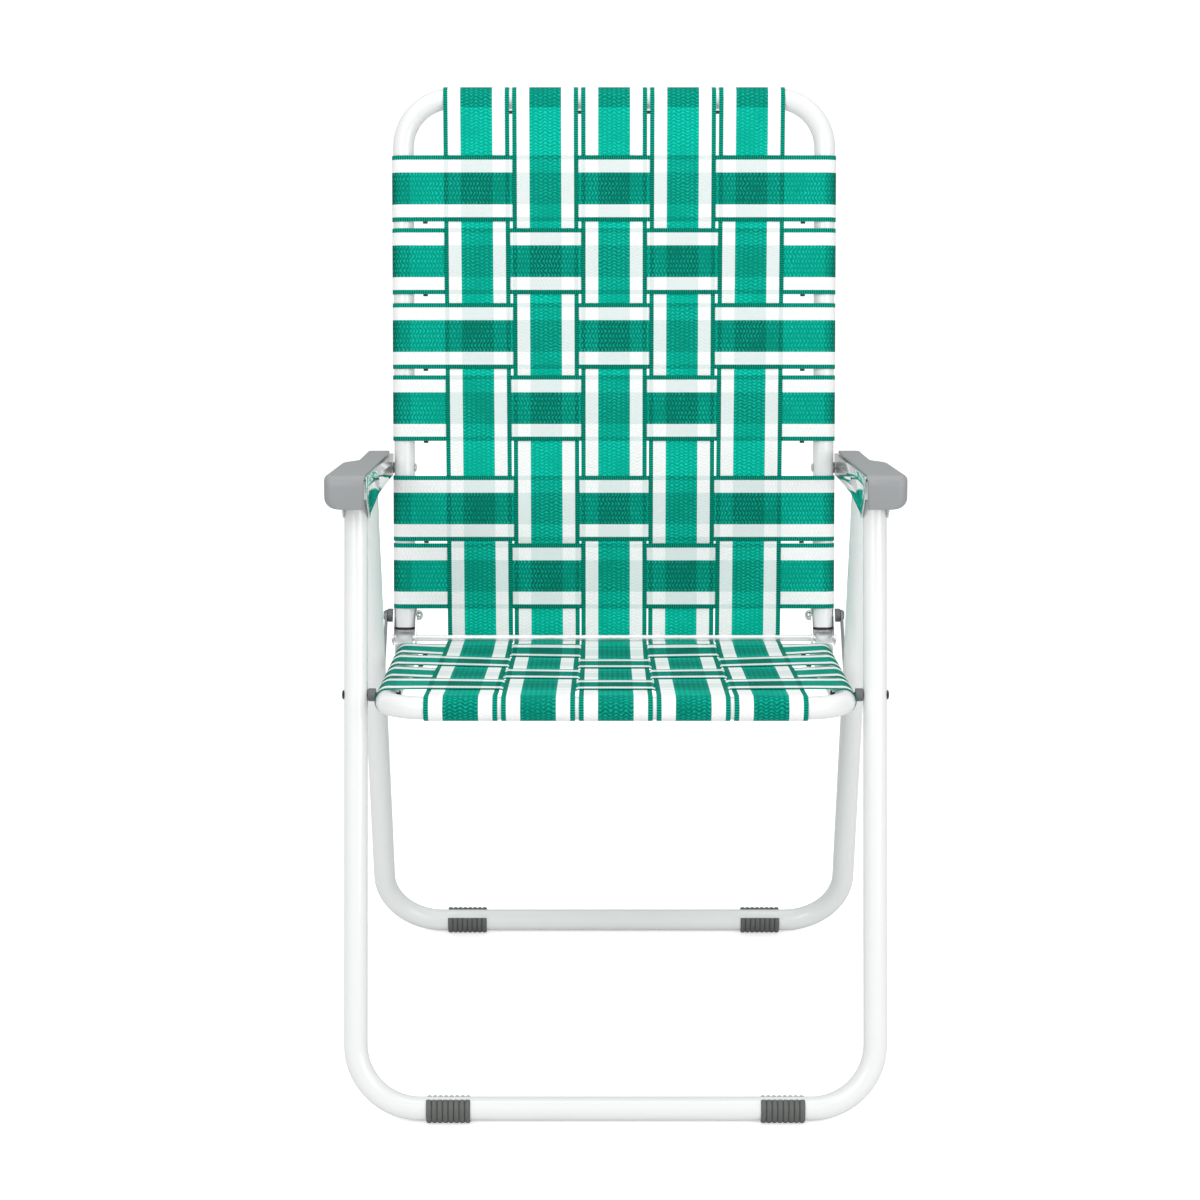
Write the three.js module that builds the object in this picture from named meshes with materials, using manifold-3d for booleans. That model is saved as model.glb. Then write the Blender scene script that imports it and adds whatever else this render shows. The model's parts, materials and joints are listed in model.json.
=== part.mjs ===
// Folding lawn chair with woven webbing on a tube frame, in millimetres, Z up.
// X runs across the chair, Y from the front to the back.
// Pivots of the side view are Vector2 points that hold y and z.
import * as THREE from 'three';
import { mergeVertices } from 'three/addons/utils/BufferGeometryUtils.js';
import Module from 'manifold-3d';

const wasm = await Module();
wasm.setup();

// Clearances and stock that every piece shares
const fit = 0.3;
const overrun = 2;
const tubeWall = 1.2;
const sheet = 1.2;
const shank = 2.5;
const headRadius = 4.7;
const headHeight = 1.8;

// Leg frames: one tube size, one width, bent to a U with the bar on the floor
const legRadius = 11.5;
const legBend = 62;
const legPlay = 0.6;
const legEnd = 5;
const frontLean = THREE.MathUtils.degToRad(18.2);
const frontSeatPivot = 398.8;
const armRise = 183;
const stance = 451;

// Seat and back frames turn on the cross rod
const rodRadius = 3.5;
const rodHead = 0.7;
const rodHeadRadius = 5;
const seatRadius = 11;
const seatHalf = 220;
const seatDrop = 14.5;
const seatReach = 385;
const seatBend = 42;
const seatEnd = 8;
const seatPivotRise = 5;
const pivotInset = 50.2;
const pivotSlope = THREE.MathUtils.degToRad(9);
const backRadius = 11;
const backHalf = 224.6;
const backDrop = 13.5;
const backReach = 575;
const backBend = 52;
const backEnd = 11.2;

// Webbing: lengthwise tape width, thickness and pitch; the rows' width and places as shares of their frame
const tapeWidth = 70;
const tape = 1;
const weave = 0.65;
const wrapTurn = THREE.MathUtils.degToRad(195);
const tapeCount = 5;
const pitchTop = 73.3;
const pitchRod = 71.6;
const pitchFront = 73.6;
const backTapeShare = 0.12174;
const backRowShares = [0.81196, 0.6605, 0.50433, 0.35327, 0.14241];
const backRowClear = 0.6;
const seatTapeShare = 0.18182;
const seatRowShares = [0.25846, 0.51692, 0.76308];
const seatRowClear = 2;
const rodLead = THREE.MathUtils.degToRad(12);

// Hinge bracket that clasps the foot of the back tube from behind
const bracketSheet = 1.5;
const bracketTop = 31;
const bracketFoot = 3;
const bracketPivot = 23.6;
const bracketEye = 8;
const bracketLip = 4;
const nutRadius = 5.6;
const nutHeight = 6;
const lugRadius = 6.4;
const lugInset = 2.3;
const lugBase = 23;
const lugRoof = 1.2;

// Rear link and its lug on the rear leg
const linkSheet = 2.5;
const linkEye = 6;
const linkStandoff = 5.8;
const linkSpacer = 7.2;
const linkUp = 268.16;
const linkBehind = 18;
const linkBoss = 1.5;
const lugSheet = 3;
const lugEye = 7;

// Spacers and bushes
const seatSpacer = 6.3;
const bushRadius = 6;

// Armrest: steel channel over the leg tops with a moulded rest on it
const armTopFront = 32.5;
const armTopRear = 17.6;
const armShell = 2.6;
const armNose = 46;
const armNoseDrop = 31;
const armNoseRadius = 9;
const armTail = 12;
const armTailDepth = 7;
const armOverhang = 15.7;
const armOverhangRear = 1.8;
const armLap = 1.4;
const armLapRear = 4.5;
const armShoulder = 150;
const armShoulderRun = 40;
const armCorner = 12;
const rearPivotAlong = 126;
const rearPivotRise = 10;
const channelFront = 37;
const channelNose = 16;
const channelLobe = 12.5;
const channelTail = 9;
const channelBelly = 3;

// Ribbed feet on the floor bars
const footWall = 2.2;
const footFlat = 0.5;
const footLength = 42.5;
const footCentre = 161;
const footRibs = 8;
const ribDepth = 0.9;
const ribGap = 1.4;
const footMouth = THREE.MathUtils.degToRad(88);

// Facets
const tubeSides = 12;
const bendSteps = 5;
const pinSides = 8;

// Sizes that follow from the ones above
const tapeOuter = fit + tape;
const earInside = backHalf + backRadius + tapeOuter + fit;
const legHalf = earInside + sheet + legPlay + legRadius;
const earOutside = legHalf + legRadius + fit;
const footRadius = legRadius + fit + footWall;
const barHeight = footRadius - footFlat;
const pivotReach = seatReach - pivotInset;
const armOuter = earOutside + armOverhang;
const armOuterRear = earOutside + armOverhangRear;
const armInnerFront = earInside + armLap;
const armInnerRear = earInside + armLapRear;

// Places from a first row to the end of a frame, by share
function rowsFrom(first, reach, shares) {
  return shares.map((share) => first + share * (reach - first));
}

const backTape = backTapeShare * backReach;
const seatTape = seatTapeShare * seatReach;
const lowRow = bracketTop + backRowClear + backTape / 2;
const rearRow = lugBase + seatRowClear + seatTape / 2;
const backRows = [...rowsFrom(lowRow, backReach, backRowShares), lowRow];
const seatRows = [rearRow, ...rowsFrom(rearRow, seatReach, seatRowShares)];

function along(angle) {
  return new THREE.Vector2(Math.cos(angle), Math.sin(angle));
}

const frontBar = new THREE.Vector2(0, barHeight);
const frontUp = along(Math.PI / 2 - frontLean);
const seatPivot = frontBar.clone().addScaledVector(frontUp, frontSeatPivot);
const armFront = seatPivot.clone().addScaledVector(frontUp, armRise);
const armWay = along(-pivotSlope);
const armUp = along(Math.PI / 2 - pivotSlope);
const rod = seatPivot.clone().addScaledVector(armWay, pivotReach);
const armBack = rod.clone().addScaledVector(frontUp, armRise);
const rearPivot = armFront.clone().addScaledVector(armWay, rearPivotAlong)
  .addScaledVector(armUp, rearPivotRise);
const rearBar = new THREE.Vector2(stance, barHeight);
const rearLength = rearPivot.distanceTo(rearBar);
const rearAngle = rearPivot.clone().sub(rearBar).angle();
const backAngle = Math.PI / 2 - frontLean + Math.asin(backDrop / armRise);
const backPivotUp = Math.sqrt(armRise ** 2 - backDrop ** 2);
const seatPivotDrop = seatDrop - seatPivotRise;
const seatPivotAlong = Math.sqrt(pivotReach ** 2 - seatPivotDrop ** 2);
const seatAngle = -pivotSlope - Math.asin(seatPivotDrop / pivotReach);

// A point given in a body's own frame, back in the side view
function outOf(origin, angle, y, z) {
  return new THREE.Vector2(y, z).rotateAround(new THREE.Vector2(), angle).add(origin);
}

const linkTop = outOf(rod, backAngle, bracketPivot, -backDrop);
const linkFoot = outOf(rearBar, rearAngle, rearLength - linkUp, -linkBehind);
const linkLength = linkTop.distanceTo(linkFoot);
const linkAngle = linkTop.clone().sub(linkFoot).angle();

// A polyline whose corners are arcs, with one station at each end and a few round each bend
class BentPath extends THREE.Curve {
  constructor(points, radius) {
    super();
    this.stations = [];
    points.forEach((point, i) => this.turn(points[i - 1], point, points[i + 1], radius));
  }

  turn(before, point, after, radius) {
    if (!before || !after) {
      const tangent = (after || point).clone().sub(before || point).normalize();
      const onward = before ? point.clone().sub(before).normalize() : tangent;
      this.stations.push({ point, tangent: onward });
      return;
    }
    const inward = point.clone().sub(before).normalize();
    const outward = after.clone().sub(point).normalize();
    const angle = inward.angleTo(outward);
    const start = point.clone().addScaledVector(inward, -radius * Math.tan(angle / 2));
    const normal = outward.clone().addScaledVector(inward, -outward.dot(inward)).normalize();
    for (let i = 0; i <= bendSteps; i++) {
      const part = angle * i / bendSteps;
      const place = start.clone().addScaledVector(inward, radius * Math.sin(part))
        .addScaledVector(normal, radius * (1 - Math.cos(part)));
      const tangent = inward.clone().multiplyScalar(Math.cos(part))
        .addScaledVector(normal, Math.sin(part));
      this.stations.push({ point: place, tangent });
    }
  }

  get steps() {
    return this.stations.length - 1;
  }

  station(u) {
    return this.stations[Math.round(u * this.steps)];
  }

  getPoint(u) {
    return this.station(u).point.clone();
  }

  getPointAt(u) {
    return this.station(u).point.clone();
  }

  getTangentAt(u) {
    return this.station(u).tangent.clone();
  }
}

// A closed three.js geometry as a solid that can be joined and cut
function solid(geometry) {
  geometry.deleteAttribute('normal');
  geometry.deleteAttribute('uv');
  const merged = mergeVertices(geometry);
  const triVerts = new Uint32Array(merged.index.array);
  const vertProperties = new Float32Array(merged.attributes.position.array);
  const body = new wasm.Manifold(new wasm.Mesh({ numProp: 3, vertProperties, triVerts }));
  if (body.volume() > 0) {
    return body;
  }
  return new wasm.Manifold(new wasm.Mesh({ numProp: 3, vertProperties, triVerts: triVerts.reverse() }));
}

function disc(radius) {
  return new THREE.Shape().absarc(0, 0, radius, 0, 2 * Math.PI);
}

function bar(path, radius) {
  return solid(new THREE.ExtrudeGeometry(disc(radius), {
    steps: path.steps,
    curveSegments: tubeSides / 2,
    extrudePath: path,
  }));
}

// A U of bent tube in its own plane: legs along Y, the bar at y = foot
function tube(half, top, foot, bend, radius, height, extras = []) {
  const reach = Math.sign(top - foot);
  const corners = (end) => [
    new THREE.Vector3(-half, end, height),
    new THREE.Vector3(-half, foot, height),
    new THREE.Vector3(half, foot, height),
    new THREE.Vector3(half, end, height),
  ];
  const skin = bar(new BentPath(corners(top), bend), radius);
  const bore = bar(new BentPath(corners(top + reach * overrun), bend), radius - tubeWall);
  return extras.reduce((whole, extra) => whole.add(extra), skin).subtract(bore);
}

// A side view outline in y and z, given thickness across the chair
const across = new THREE.Matrix4().makeBasis(
  new THREE.Vector3(0, 1, 0),
  new THREE.Vector3(0, 0, 1),
  new THREE.Vector3(1, 0, 0),
);

function plate(shape, from, to, curveSegments = pinSides) {
  const geometry = new THREE.ExtrudeGeometry(shape, {
    depth: Math.abs(to - from),
    bevelEnabled: false,
    curveSegments,
  });
  geometry.applyMatrix4(across).translate(Math.min(from, to), 0, 0);
  return solid(geometry);
}

// A round bar across the chair; a hole is wider by the slack of its facets
function pin(radius, from, to, y, z, sides = pinSides) {
  const geometry = new THREE.CylinderGeometry(radius, radius, Math.abs(to - from), sides);
  geometry.rotateZ(Math.PI / 2).translate((from + to) / 2, y, z);
  return solid(geometry);
}

function hole(radius, from, to, y, z, sides = pinSides) {
  return pin(radius / Math.cos(Math.PI / sides), from, to, y, z, sides);
}

// A turned piece on an axis across the chair, from a profile of [place, radius] pairs
function turned(profile, y, z, sides = pinSides) {
  const points = profile.map(([place, radius]) => new THREE.Vector2(radius, place));
  const geometry = new THREE.LatheGeometry(points, sides);
  geometry.rotateZ(-Math.PI / 2).translate(0, y, z);
  return solid(geometry);
}

// Rivet with a domed head past each end of what it holds, or set flush at its first end
function rivet(from, to, y, z, flush = false) {
  const way = Math.sign(to - from);
  const brow = headHeight / 2;
  const crown = headRadius / 2;
  const head = [
    [from - way * (fit + headHeight), 0],
    [from - way * (fit + headHeight), crown],
    [from - way * (fit + brow), headRadius],
    [from - way * fit, headRadius],
    [from - way * fit, shank],
  ];
  return turned([
    ...(flush ? [[from, 0], [from, shank]] : head),
    [to + way * fit, shank],
    [to + way * fit, headRadius],
    [to + way * (fit + brow), headRadius],
    [to + way * (fit + headHeight), crown],
    [to + way * (fit + headHeight), 0],
  ], y, z);
}

const chair = new THREE.Group();

function body(name, place, angle) {
  const group = new THREE.Group();
  group.name = name;
  group.position.set(0, place.x, place.y);
  group.rotation.x = angle;
  chair.add(group);
  return group;
}

const root = body('seat', rod, seatAngle);
const back = body('back', rod, backAngle);
const frontLegs = body('front_legs', frontBar, Math.PI / 2 - frontLean);
const rearLegs = body('rear_legs', rearBar, rearAngle);
const arms = body('arms', armFront, -pivotSlope);
const links = body('rear_links', linkFoot, linkAngle);

const finishes = {
  white: { color: 0xf1f1ef, roughness: 0.32, metalness: 0.1 },
  chrome: { color: 0xb9bcbf, roughness: 0.18, metalness: 1 },
  steel: { color: 0x8e9193, roughness: 0.35, metalness: 1 },
  moulding: { color: 0xa2a3a4, roughness: 0.45, metalness: 0 },
  dark: { color: 0x3b3d40, roughness: 0.6, metalness: 0 },
  webbing: { color: 0x009a86, roughness: 0.7, metalness: 0 },
};

function add(group, name, shape, finish) {
  const { vertProperties, triVerts } = shape.getMesh();
  const geometry = new THREE.BufferGeometry();
  geometry.setAttribute('position', new THREE.BufferAttribute(new Float32Array(vertProperties), 3));
  geometry.setIndex(new THREE.BufferAttribute(new Uint32Array(triVerts), 1));
  geometry.computeVertexNormals();
  const mesh = new THREE.Mesh(geometry, new THREE.MeshStandardMaterial(finishes[finish]));
  mesh.name = name;
  group.add(mesh);
}

const sides = [['left', -1], ['right', 1]];

// Frames
const fullWidth = legHalf + legRadius + overrun;

function drilled(shape, radius, y, z) {
  return shape.subtract(hole(radius, -fullWidth, fullWidth, y, z));
}

function frontLegFrame() {
  const frame = tube(legHalf, frontSeatPivot + armRise + legEnd, 0, legBend, legRadius, 0);
  return drilled(drilled(frame, shank + fit, frontSeatPivot, 0), shank + fit, frontSeatPivot + armRise, 0);
}

const spacerStart = backHalf + backRadius + fit + bracketSheet + fit;
const linkStart = spacerStart + linkStandoff + fit;
const lugStart = linkStart + linkSheet + fit;

// Flat bar with a round end at each of two points on the side view
function flatLink(y0, z0, y1, z1, radius) {
  const angle = Math.atan2(z1 - z0, y1 - y0);
  const shape = new THREE.Shape();
  shape.absarc(y0, z0, radius, angle + Math.PI / 2, angle + 3 * Math.PI / 2);
  shape.absarc(y1, z1, radius, angle - Math.PI / 2, angle + Math.PI / 2);
  return shape;
}

function rearLegFrame() {
  const height = rearLength - linkUp;
  const lug = flatLink(height, 0, height, -linkBehind, lugEye);
  const lugs = sides.map(([, side]) => plate(lug, side * lugStart, side * (lugStart + lugSheet)));
  const frame = tube(legHalf, rearLength + legEnd, 0, legBend, legRadius, 0, lugs);
  return drilled(drilled(frame, shank + fit, rearLength, 0), shank + fit, height, -linkBehind);
}

add(frontLegs, 'front_leg_frame', frontLegFrame(), 'white');
add(rearLegs, 'rear_leg_frame', rearLegFrame(), 'white');

const seatFrame = tube(seatHalf, -seatEnd, -seatReach, seatBend, seatRadius, -seatDrop);
add(root, 'seat_frame', drilled(seatFrame, shank + fit, -seatPivotAlong, -seatPivotDrop), 'white');

const backTube = tube(backHalf, backEnd, backReach, backBend, backRadius, -backDrop);
const backFrame = drilled(drilled(backTube, shank + fit, backPivotUp, -backDrop), shank + fit, bracketPivot, -backDrop);
add(back, 'back_frame', backFrame, 'white');

// Cross rod with a peened head outside each hinge bracket
const bracketOut = backHalf + backRadius + fit + bracketSheet;
const rodTip = bracketOut + fit + rodHead;
const rodShape = turned([
  [-rodTip, 0],
  [-rodTip, rodHeadRadius],
  [-bracketOut - fit, rodHeadRadius],
  [-bracketOut - fit, rodRadius],
  [bracketOut + fit, rodRadius],
  [bracketOut + fit, rodHeadRadius],
  [rodTip, rodHeadRadius],
  [rodTip, 0],
], 0, 0, tubeSides);
add(root, 'hinge_rod', rodShape, 'steel');

// Hinge bracket: a channel round the back of the tube whose ears reach forward to the rod
function channelCore(side, radius) {
  const shape = new THREE.Shape();
  const front = backDrop + bracketEye + overrun;
  shape.moveTo(radius, front);
  shape.lineTo(-radius, front);
  shape.absarc(0, 0, radius, Math.PI, 2 * Math.PI);
  const length = bracketTop + bracketFoot + 2 * (bracketEye + overrun);
  const geometry = new THREE.ExtrudeGeometry(shape, { depth: length, bevelEnabled: false, curveSegments: pinSides });
  const middle = (bracketTop - bracketFoot + length) / 2;
  geometry.rotateX(Math.PI / 2).translate(side * backHalf, middle, -backDrop);
  return solid(geometry);
}

function hingeBracket(side) {
  const inner = backRadius + fit;
  const outer = inner + bracketSheet;
  const rear = -backDrop - outer;
  const outline = new THREE.Shape();
  outline.moveTo(-bracketFoot, rear);
  outline.lineTo(bracketTop, rear);
  outline.lineTo(bracketTop, -backDrop + bracketLip);
  outline.absarc(0, 0, bracketEye, Math.PI / 4, 5 * Math.PI / 4, false);
  const blank = plate(outline, side * backHalf - outer, side * backHalf + outer);
  const shape = blank.intersect(channelCore(side, outer)).subtract(channelCore(side, inner));
  return drilled(drilled(shape, rodRadius + fit, 0, 0), shank + fit, bracketPivot, -backDrop);
}

// Lug that stands on the rear end of the seat tube and turns on the rod
function seatLug(side) {
  const outline = new THREE.Shape();
  const roof = -seatDrop + seatRadius + lugRoof;
  outline.moveTo(-lugBase, -seatDrop);
  outline.lineTo(-seatEnd, -seatDrop);
  outline.absarc(0, 0, lugRadius, -2 * Math.PI / 3, Math.PI / 2, false);
  outline.lineTo(-lugBase, roof);
  const middle = side * backHalf;
  const half = backRadius + fit - lugInset;
  const blank = plate(outline, middle - half, middle + half);
  const seatTube = new BentPath([
    new THREE.Vector3(side * seatHalf, overrun + lugRadius, -seatDrop),
    new THREE.Vector3(side * seatHalf, -lugBase - overrun, -seatDrop),
  ], seatBend);
  const shape = blank.subtract(bar(seatTube, (seatRadius + fit) / Math.cos(Math.PI / tubeSides)));
  return drilled(shape, rodRadius + fit, 0, 0);
}

// Ring between two faces across the chair, with the shank's hole
function ring(side, radius, from, to, y, z) {
  return pin(radius, side * from, side * to, y, z, tubeSides)
    .subtract(hole(shank + fit, -fullWidth, fullWidth, y, z));
}

// Domed nut inside the bracket, its bolt through the tube and the spacer
function bracketBolt(side) {
  const inside = backHalf - backRadius - fit - bracketSheet - fit;
  return turned([
    [side * (inside - nutHeight), 0],
    [side * (inside - nutHeight), nutRadius / 2],
    [side * (inside - nutHeight / 2), nutRadius],
    [side * inside, nutRadius],
    [side * inside, shank],
    [side * (linkStart - fit), shank],
    [side * (linkStart - fit), 0],
  ], bracketPivot, -backDrop);
}

function rearLink(side) {
  const outline = flatLink(0, 0, linkLength, 0, linkEye);
  const boss = pin(headRadius, side * linkStart, side * (linkStart + linkSheet + linkBoss), linkLength, 0);
  return plate(outline, side * linkStart, side * (linkStart + linkSheet)).add(boss)
    .subtract(hole(shank + fit, -fullWidth, fullWidth, 0, 0));
}

for (const [name, side] of sides) {
  const spacerFrom = seatHalf + seatRadius + fit;
  const spacerTo = legHalf - legRadius - fit;
  const bushFrom = backHalf + backRadius + fit;
  const bushTo = earInside - fit;
  const rearHeight = rearLength - linkUp;
  add(back, `${name}_hinge_bracket`, hingeBracket(side), 'chrome');
  add(root, `${name}_seat_lug`, seatLug(side), 'chrome');
  add(back, `${name}_bracket_bolt`, bracketBolt(side), 'steel');
  add(back, `${name}_link_spacer`,
    ring(side, linkSpacer, spacerStart, linkStart - fit, bracketPivot, -backDrop), 'dark');
  add(links, `${name}_rear_link`, rearLink(side), 'steel');
  add(rearLegs, `${name}_link_rivet`,
    rivet(side * linkStart, side * (lugStart + lugSheet), rearHeight, -linkBehind), 'steel');
  add(root, `${name}_seat_spacer`,
    ring(side, seatSpacer, spacerFrom, spacerTo, -seatPivotAlong, -seatPivotDrop), 'dark');
  add(root, `${name}_seat_rivet`,
    rivet(side * (seatHalf - seatRadius), side * (legHalf + legRadius), -seatPivotAlong, -seatPivotDrop), 'steel');
  add(back, `${name}_arm_bush`, ring(side, bushRadius, bushFrom, bushTo, backPivotUp, -backDrop), 'dark');
  add(back, `${name}_arm_back_rivet`,
    rivet(side * (backHalf - backRadius), side * (earInside + sheet), backPivotUp, -backDrop), 'steel');
  const armFace = side * (earOutside + sheet);
  add(arms, `${name}_arm_front_rivet`, rivet(side * earInside, armFace, 0, 0, true), 'steel');
  add(arms, `${name}_arm_rear_rivet`,
    rivet(side * earInside, armFace, rearPivotAlong, rearPivotRise, true), 'steel');
}

// Armrests: heights of the rest's top above the line of the pivots
const armFall = (armTopFront - armTopRear) / pivotReach;
const tailEnd = pivotReach + armTail;

function armTop(y) {
  return armTopFront - armFall * y;
}

function channelTop(y) {
  return armTop(y) - armShell - fit;
}

function channelOutline(drop) {
  const shape = new THREE.Shape();
  const front = -channelFront - drop;
  const rear = tailEnd - fit + drop;
  shape.moveTo(front, channelTop(front) - drop);
  shape.lineTo(front, channelNose - drop);
  shape.absarc(0, 0, channelLobe + drop, -3 * Math.PI / 4, -Math.PI / 4, false);
  shape.lineTo(rearPivotAlong, -channelBelly - drop);
  shape.absarc(pivotReach, 0, channelTail + drop, -2 * Math.PI / 3, 0, false);
  shape.lineTo(rear, channelTop(rear) - drop);
  return shape;
}

function armChannel(side) {
  const blank = plate(channelOutline(0), side * earInside, side * (earOutside + sheet));
  const inside = new THREE.Shape();
  const front = -channelFront - overrun;
  const rear = tailEnd + overrun;
  inside.moveTo(front, channelTop(front) - sheet);
  inside.lineTo(front, -channelLobe - overrun);
  inside.lineTo(rear, -channelLobe - overrun);
  inside.lineTo(rear, channelTop(rear) - sheet);
  const hollow = plate(inside, side * (earInside + sheet), side * earOutside);
  const shape = drilled(blank.subtract(hollow), shank + fit, 0, 0);
  return drilled(drilled(shape, shank + fit, rearPivotAlong, rearPivotRise), shank + fit, pivotReach, 0);
}

// Rest: the plan outline through the side outline, hollow under its top
function planPrism(shape, low, high) {
  const geometry = new THREE.ExtrudeGeometry(shape, {
    depth: high - low,
    bevelEnabled: false,
    curveSegments: tubeSides / 2,
  });
  return geometry.translate(0, 0, low);
}

function mirroredSolid(geometry, side) {
  return solid(geometry.scale(side, 1, 1));
}

function armrest(side) {
  const nose = -armNose;
  const plan = new THREE.Shape();
  plan.moveTo(armInnerRear, tailEnd);
  plan.lineTo(armInnerFront, nose + armCorner / 2);
  plan.absarc(armInnerFront + armCorner / 2, nose + armCorner / 2, armCorner / 2, Math.PI, 3 * Math.PI / 2, false);
  plan.absarc(armOuter - armCorner, nose + armCorner, armCorner, -Math.PI / 2, 0, false);
  plan.lineTo(armOuter, armShoulder);
  plan.lineTo(armOuterRear, armShoulder + armShoulderRun);
  plan.absarc(armOuterRear - armCorner / 3, tailEnd - armCorner / 3, armCorner / 3, 0, Math.PI / 2, false);
  const foot = armTop(nose) - armNoseDrop;
  const profile = new THREE.Shape();
  profile.moveTo(nose, foot);
  profile.lineTo(-channelFront + armShell, foot);
  profile.lineTo(armShoulder, armTop(armShoulder) - 2 * armShell - armTailDepth);
  profile.lineTo(tailEnd, armTop(tailEnd) - armShell);
  profile.lineTo(tailEnd, armTop(tailEnd));
  profile.lineTo(nose + armNoseRadius, armTop(nose));
  profile.absarc(nose + armNoseRadius, armTop(nose) - armNoseRadius, armNoseRadius, Math.PI / 2, Math.PI, false);
  const low = foot - overrun;
  const high = armTop(nose) + overrun;
  const outer = mirroredSolid(planPrism(plan, low, high), side);
  const slab = plate(profile, side * (armInnerFront - overrun), side * (armOuter + overrun));
  const hollowPlan = new THREE.Shape();
  hollowPlan.moveTo(armInnerFront - overrun, tailEnd + overrun);
  hollowPlan.lineTo(armInnerFront - overrun, nose + armShell);
  hollowPlan.absarc(armOuter - armCorner, nose + armCorner, armCorner - armShell, -Math.PI / 2, 0, false);
  hollowPlan.lineTo(armOuter - armShell, armShoulder);
  hollowPlan.lineTo(armOuter + overrun, armShoulder + overrun);
  hollowPlan.lineTo(armOuter + overrun, tailEnd + overrun);
  const under = new THREE.Shape();
  under.moveTo(nose + armShell, low - overrun);
  under.lineTo(tailEnd + overrun, low - overrun);
  under.lineTo(tailEnd + overrun, armTop(tailEnd + overrun) - armShell);
  under.lineTo(nose + armNoseRadius, armTop(nose) - armShell);
  under.absarc(
    nose + armNoseRadius,
    armTop(nose) - armNoseRadius,
    armNoseRadius - armShell,
    Math.PI / 2,
    Math.PI,
    false,
  );
  const hollow = mirroredSolid(planPrism(hollowPlan, low - overrun, high + overrun), side)
    .intersect(plate(under, side * (armInnerFront - 2 * overrun), side * (armOuter + 2 * overrun)));
  return outer.intersect(slab).subtract(hollow);
}

for (const [name, side] of sides) {
  add(arms, `${name}_arm_channel`, armChannel(side), 'chrome');
  add(arms, `${name}_armrest`, armrest(side), 'moulding');
}

// Ribbed feet: sleeves round the floor bar, open towards the legs and flat on the floor
function foot(side, lean) {
  const start = side * footCentre - footLength / 2;
  const ribPitch = (footLength + ribGap) / footRibs;
  const profile = [];
  const bore = (legRadius + fit) / Math.cos(Math.PI / tubeSides);
  profile.push([start, bore]);
  for (let i = 0; i < footRibs; i++) {
    const at = start + i * ribPitch;
    profile.push([at, footRadius]);
    profile.push([at + ribPitch - ribGap, footRadius]);
    if (i < footRibs - 1) {
      profile.push([at + ribPitch - ribGap / 2, footRadius - ribDepth]);
    }
  }
  profile.push([start + footLength, bore]);
  profile.push([start, bore]);
  const sleeve = turned(profile, 0, 0, tubeSides);
  const reach = 2 * footRadius;
  const mouth = new THREE.Shape();
  mouth.moveTo(0, 0);
  mouth.lineTo(reach, -reach * Math.tan(footMouth / 2));
  mouth.lineTo(reach, reach * Math.tan(footMouth / 2));
  const floor = new THREE.Shape();
  floor.moveTo(-reach, -reach);
  floor.lineTo(reach, -reach);
  floor.lineTo(reach, -barHeight);
  floor.lineTo(-reach, -barHeight);
  const ends = [start - overrun, start + footLength + overrun];
  const ground = plate(floor, ...ends).rotate([-THREE.MathUtils.radToDeg(lean), 0, 0]);
  return sleeve.subtract(plate(mouth, ...ends)).subtract(ground);
}

for (const [name, side] of sides) {
  add(frontLegs, `front_${name}_foot`, foot(side, Math.PI / 2 - frontLean), 'dark');
  add(rearLegs, `rear_${name}_foot`, foot(side, rearAngle), 'dark');
}

// Webbing. A tape is a list of stations with a place and the way its upper face looks.
function tapeOutline(stations) {
  const shape = new THREE.Shape();
  const upper = stations.map(({ place, up }) => place.clone().addScaledVector(up, tape / 2));
  const lower = stations.map(({ place, up }) => place.clone().addScaledVector(up, -tape / 2));
  shape.setFromPoints([...upper, ...lower.reverse()]);
  return shape;
}

const plainUp = new THREE.Vector2(0, 1);

function flat(x, z) {
  return { place: new THREE.Vector2(x, z), up: plainUp };
}

// Stations on an arc: the face looks away from the centre
function arc(x, z, radius, from, to, steps) {
  const stations = [];
  for (let i = 0; i <= steps; i++) {
    const way = along(from + (to - from) * i / steps);
    stations.push({ place: way.clone().multiplyScalar(radius).add(new THREE.Vector2(x, z)), up: way });
  }
  return stations;
}

function webHeight(drop, radius) {
  return -drop + radius + fit + tape / 2;
}

// Pitch of the lengthwise tapes at a distance from the rod
function pitchAt(y) {
  return y > 0
    ? pitchRod + (pitchTop - pitchRod) * y / backReach
    : pitchRod + (pitchFront - pitchRod) * -y / seatReach;
}

const wrapSteps = 8;
const rodSteps = 4;

function crossTape(half, drop, radius, y, width, row, over) {
  const height = webHeight(drop, radius);
  const wrapRadius = radius + fit + tape / 2;
  const stations = [];
  stations.push(...arc(-half, -drop, wrapRadius, Math.PI / 2 + wrapTurn, Math.PI / 2, wrapSteps));
  for (let i = 0; i < tapeCount; i++) {
    const middle = (i - (tapeCount - 1) / 2) * pitchAt(y);
    const level = over(row, i) ? height + weave : height - weave;
    stations.push(flat(middle - tapeWidth / 2, level));
    stations.push(flat(middle + tapeWidth / 2, level));
  }
  stations.push(...arc(half, -drop, wrapRadius, Math.PI / 2, Math.PI / 2 - wrapTurn, wrapSteps));
  const geometry = new THREE.ExtrudeGeometry(tapeOutline(stations), { depth: width, bevelEnabled: false });
  geometry.rotateX(Math.PI / 2).translate(0, y + width / 2, 0);
  return solid(geometry);
}

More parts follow.
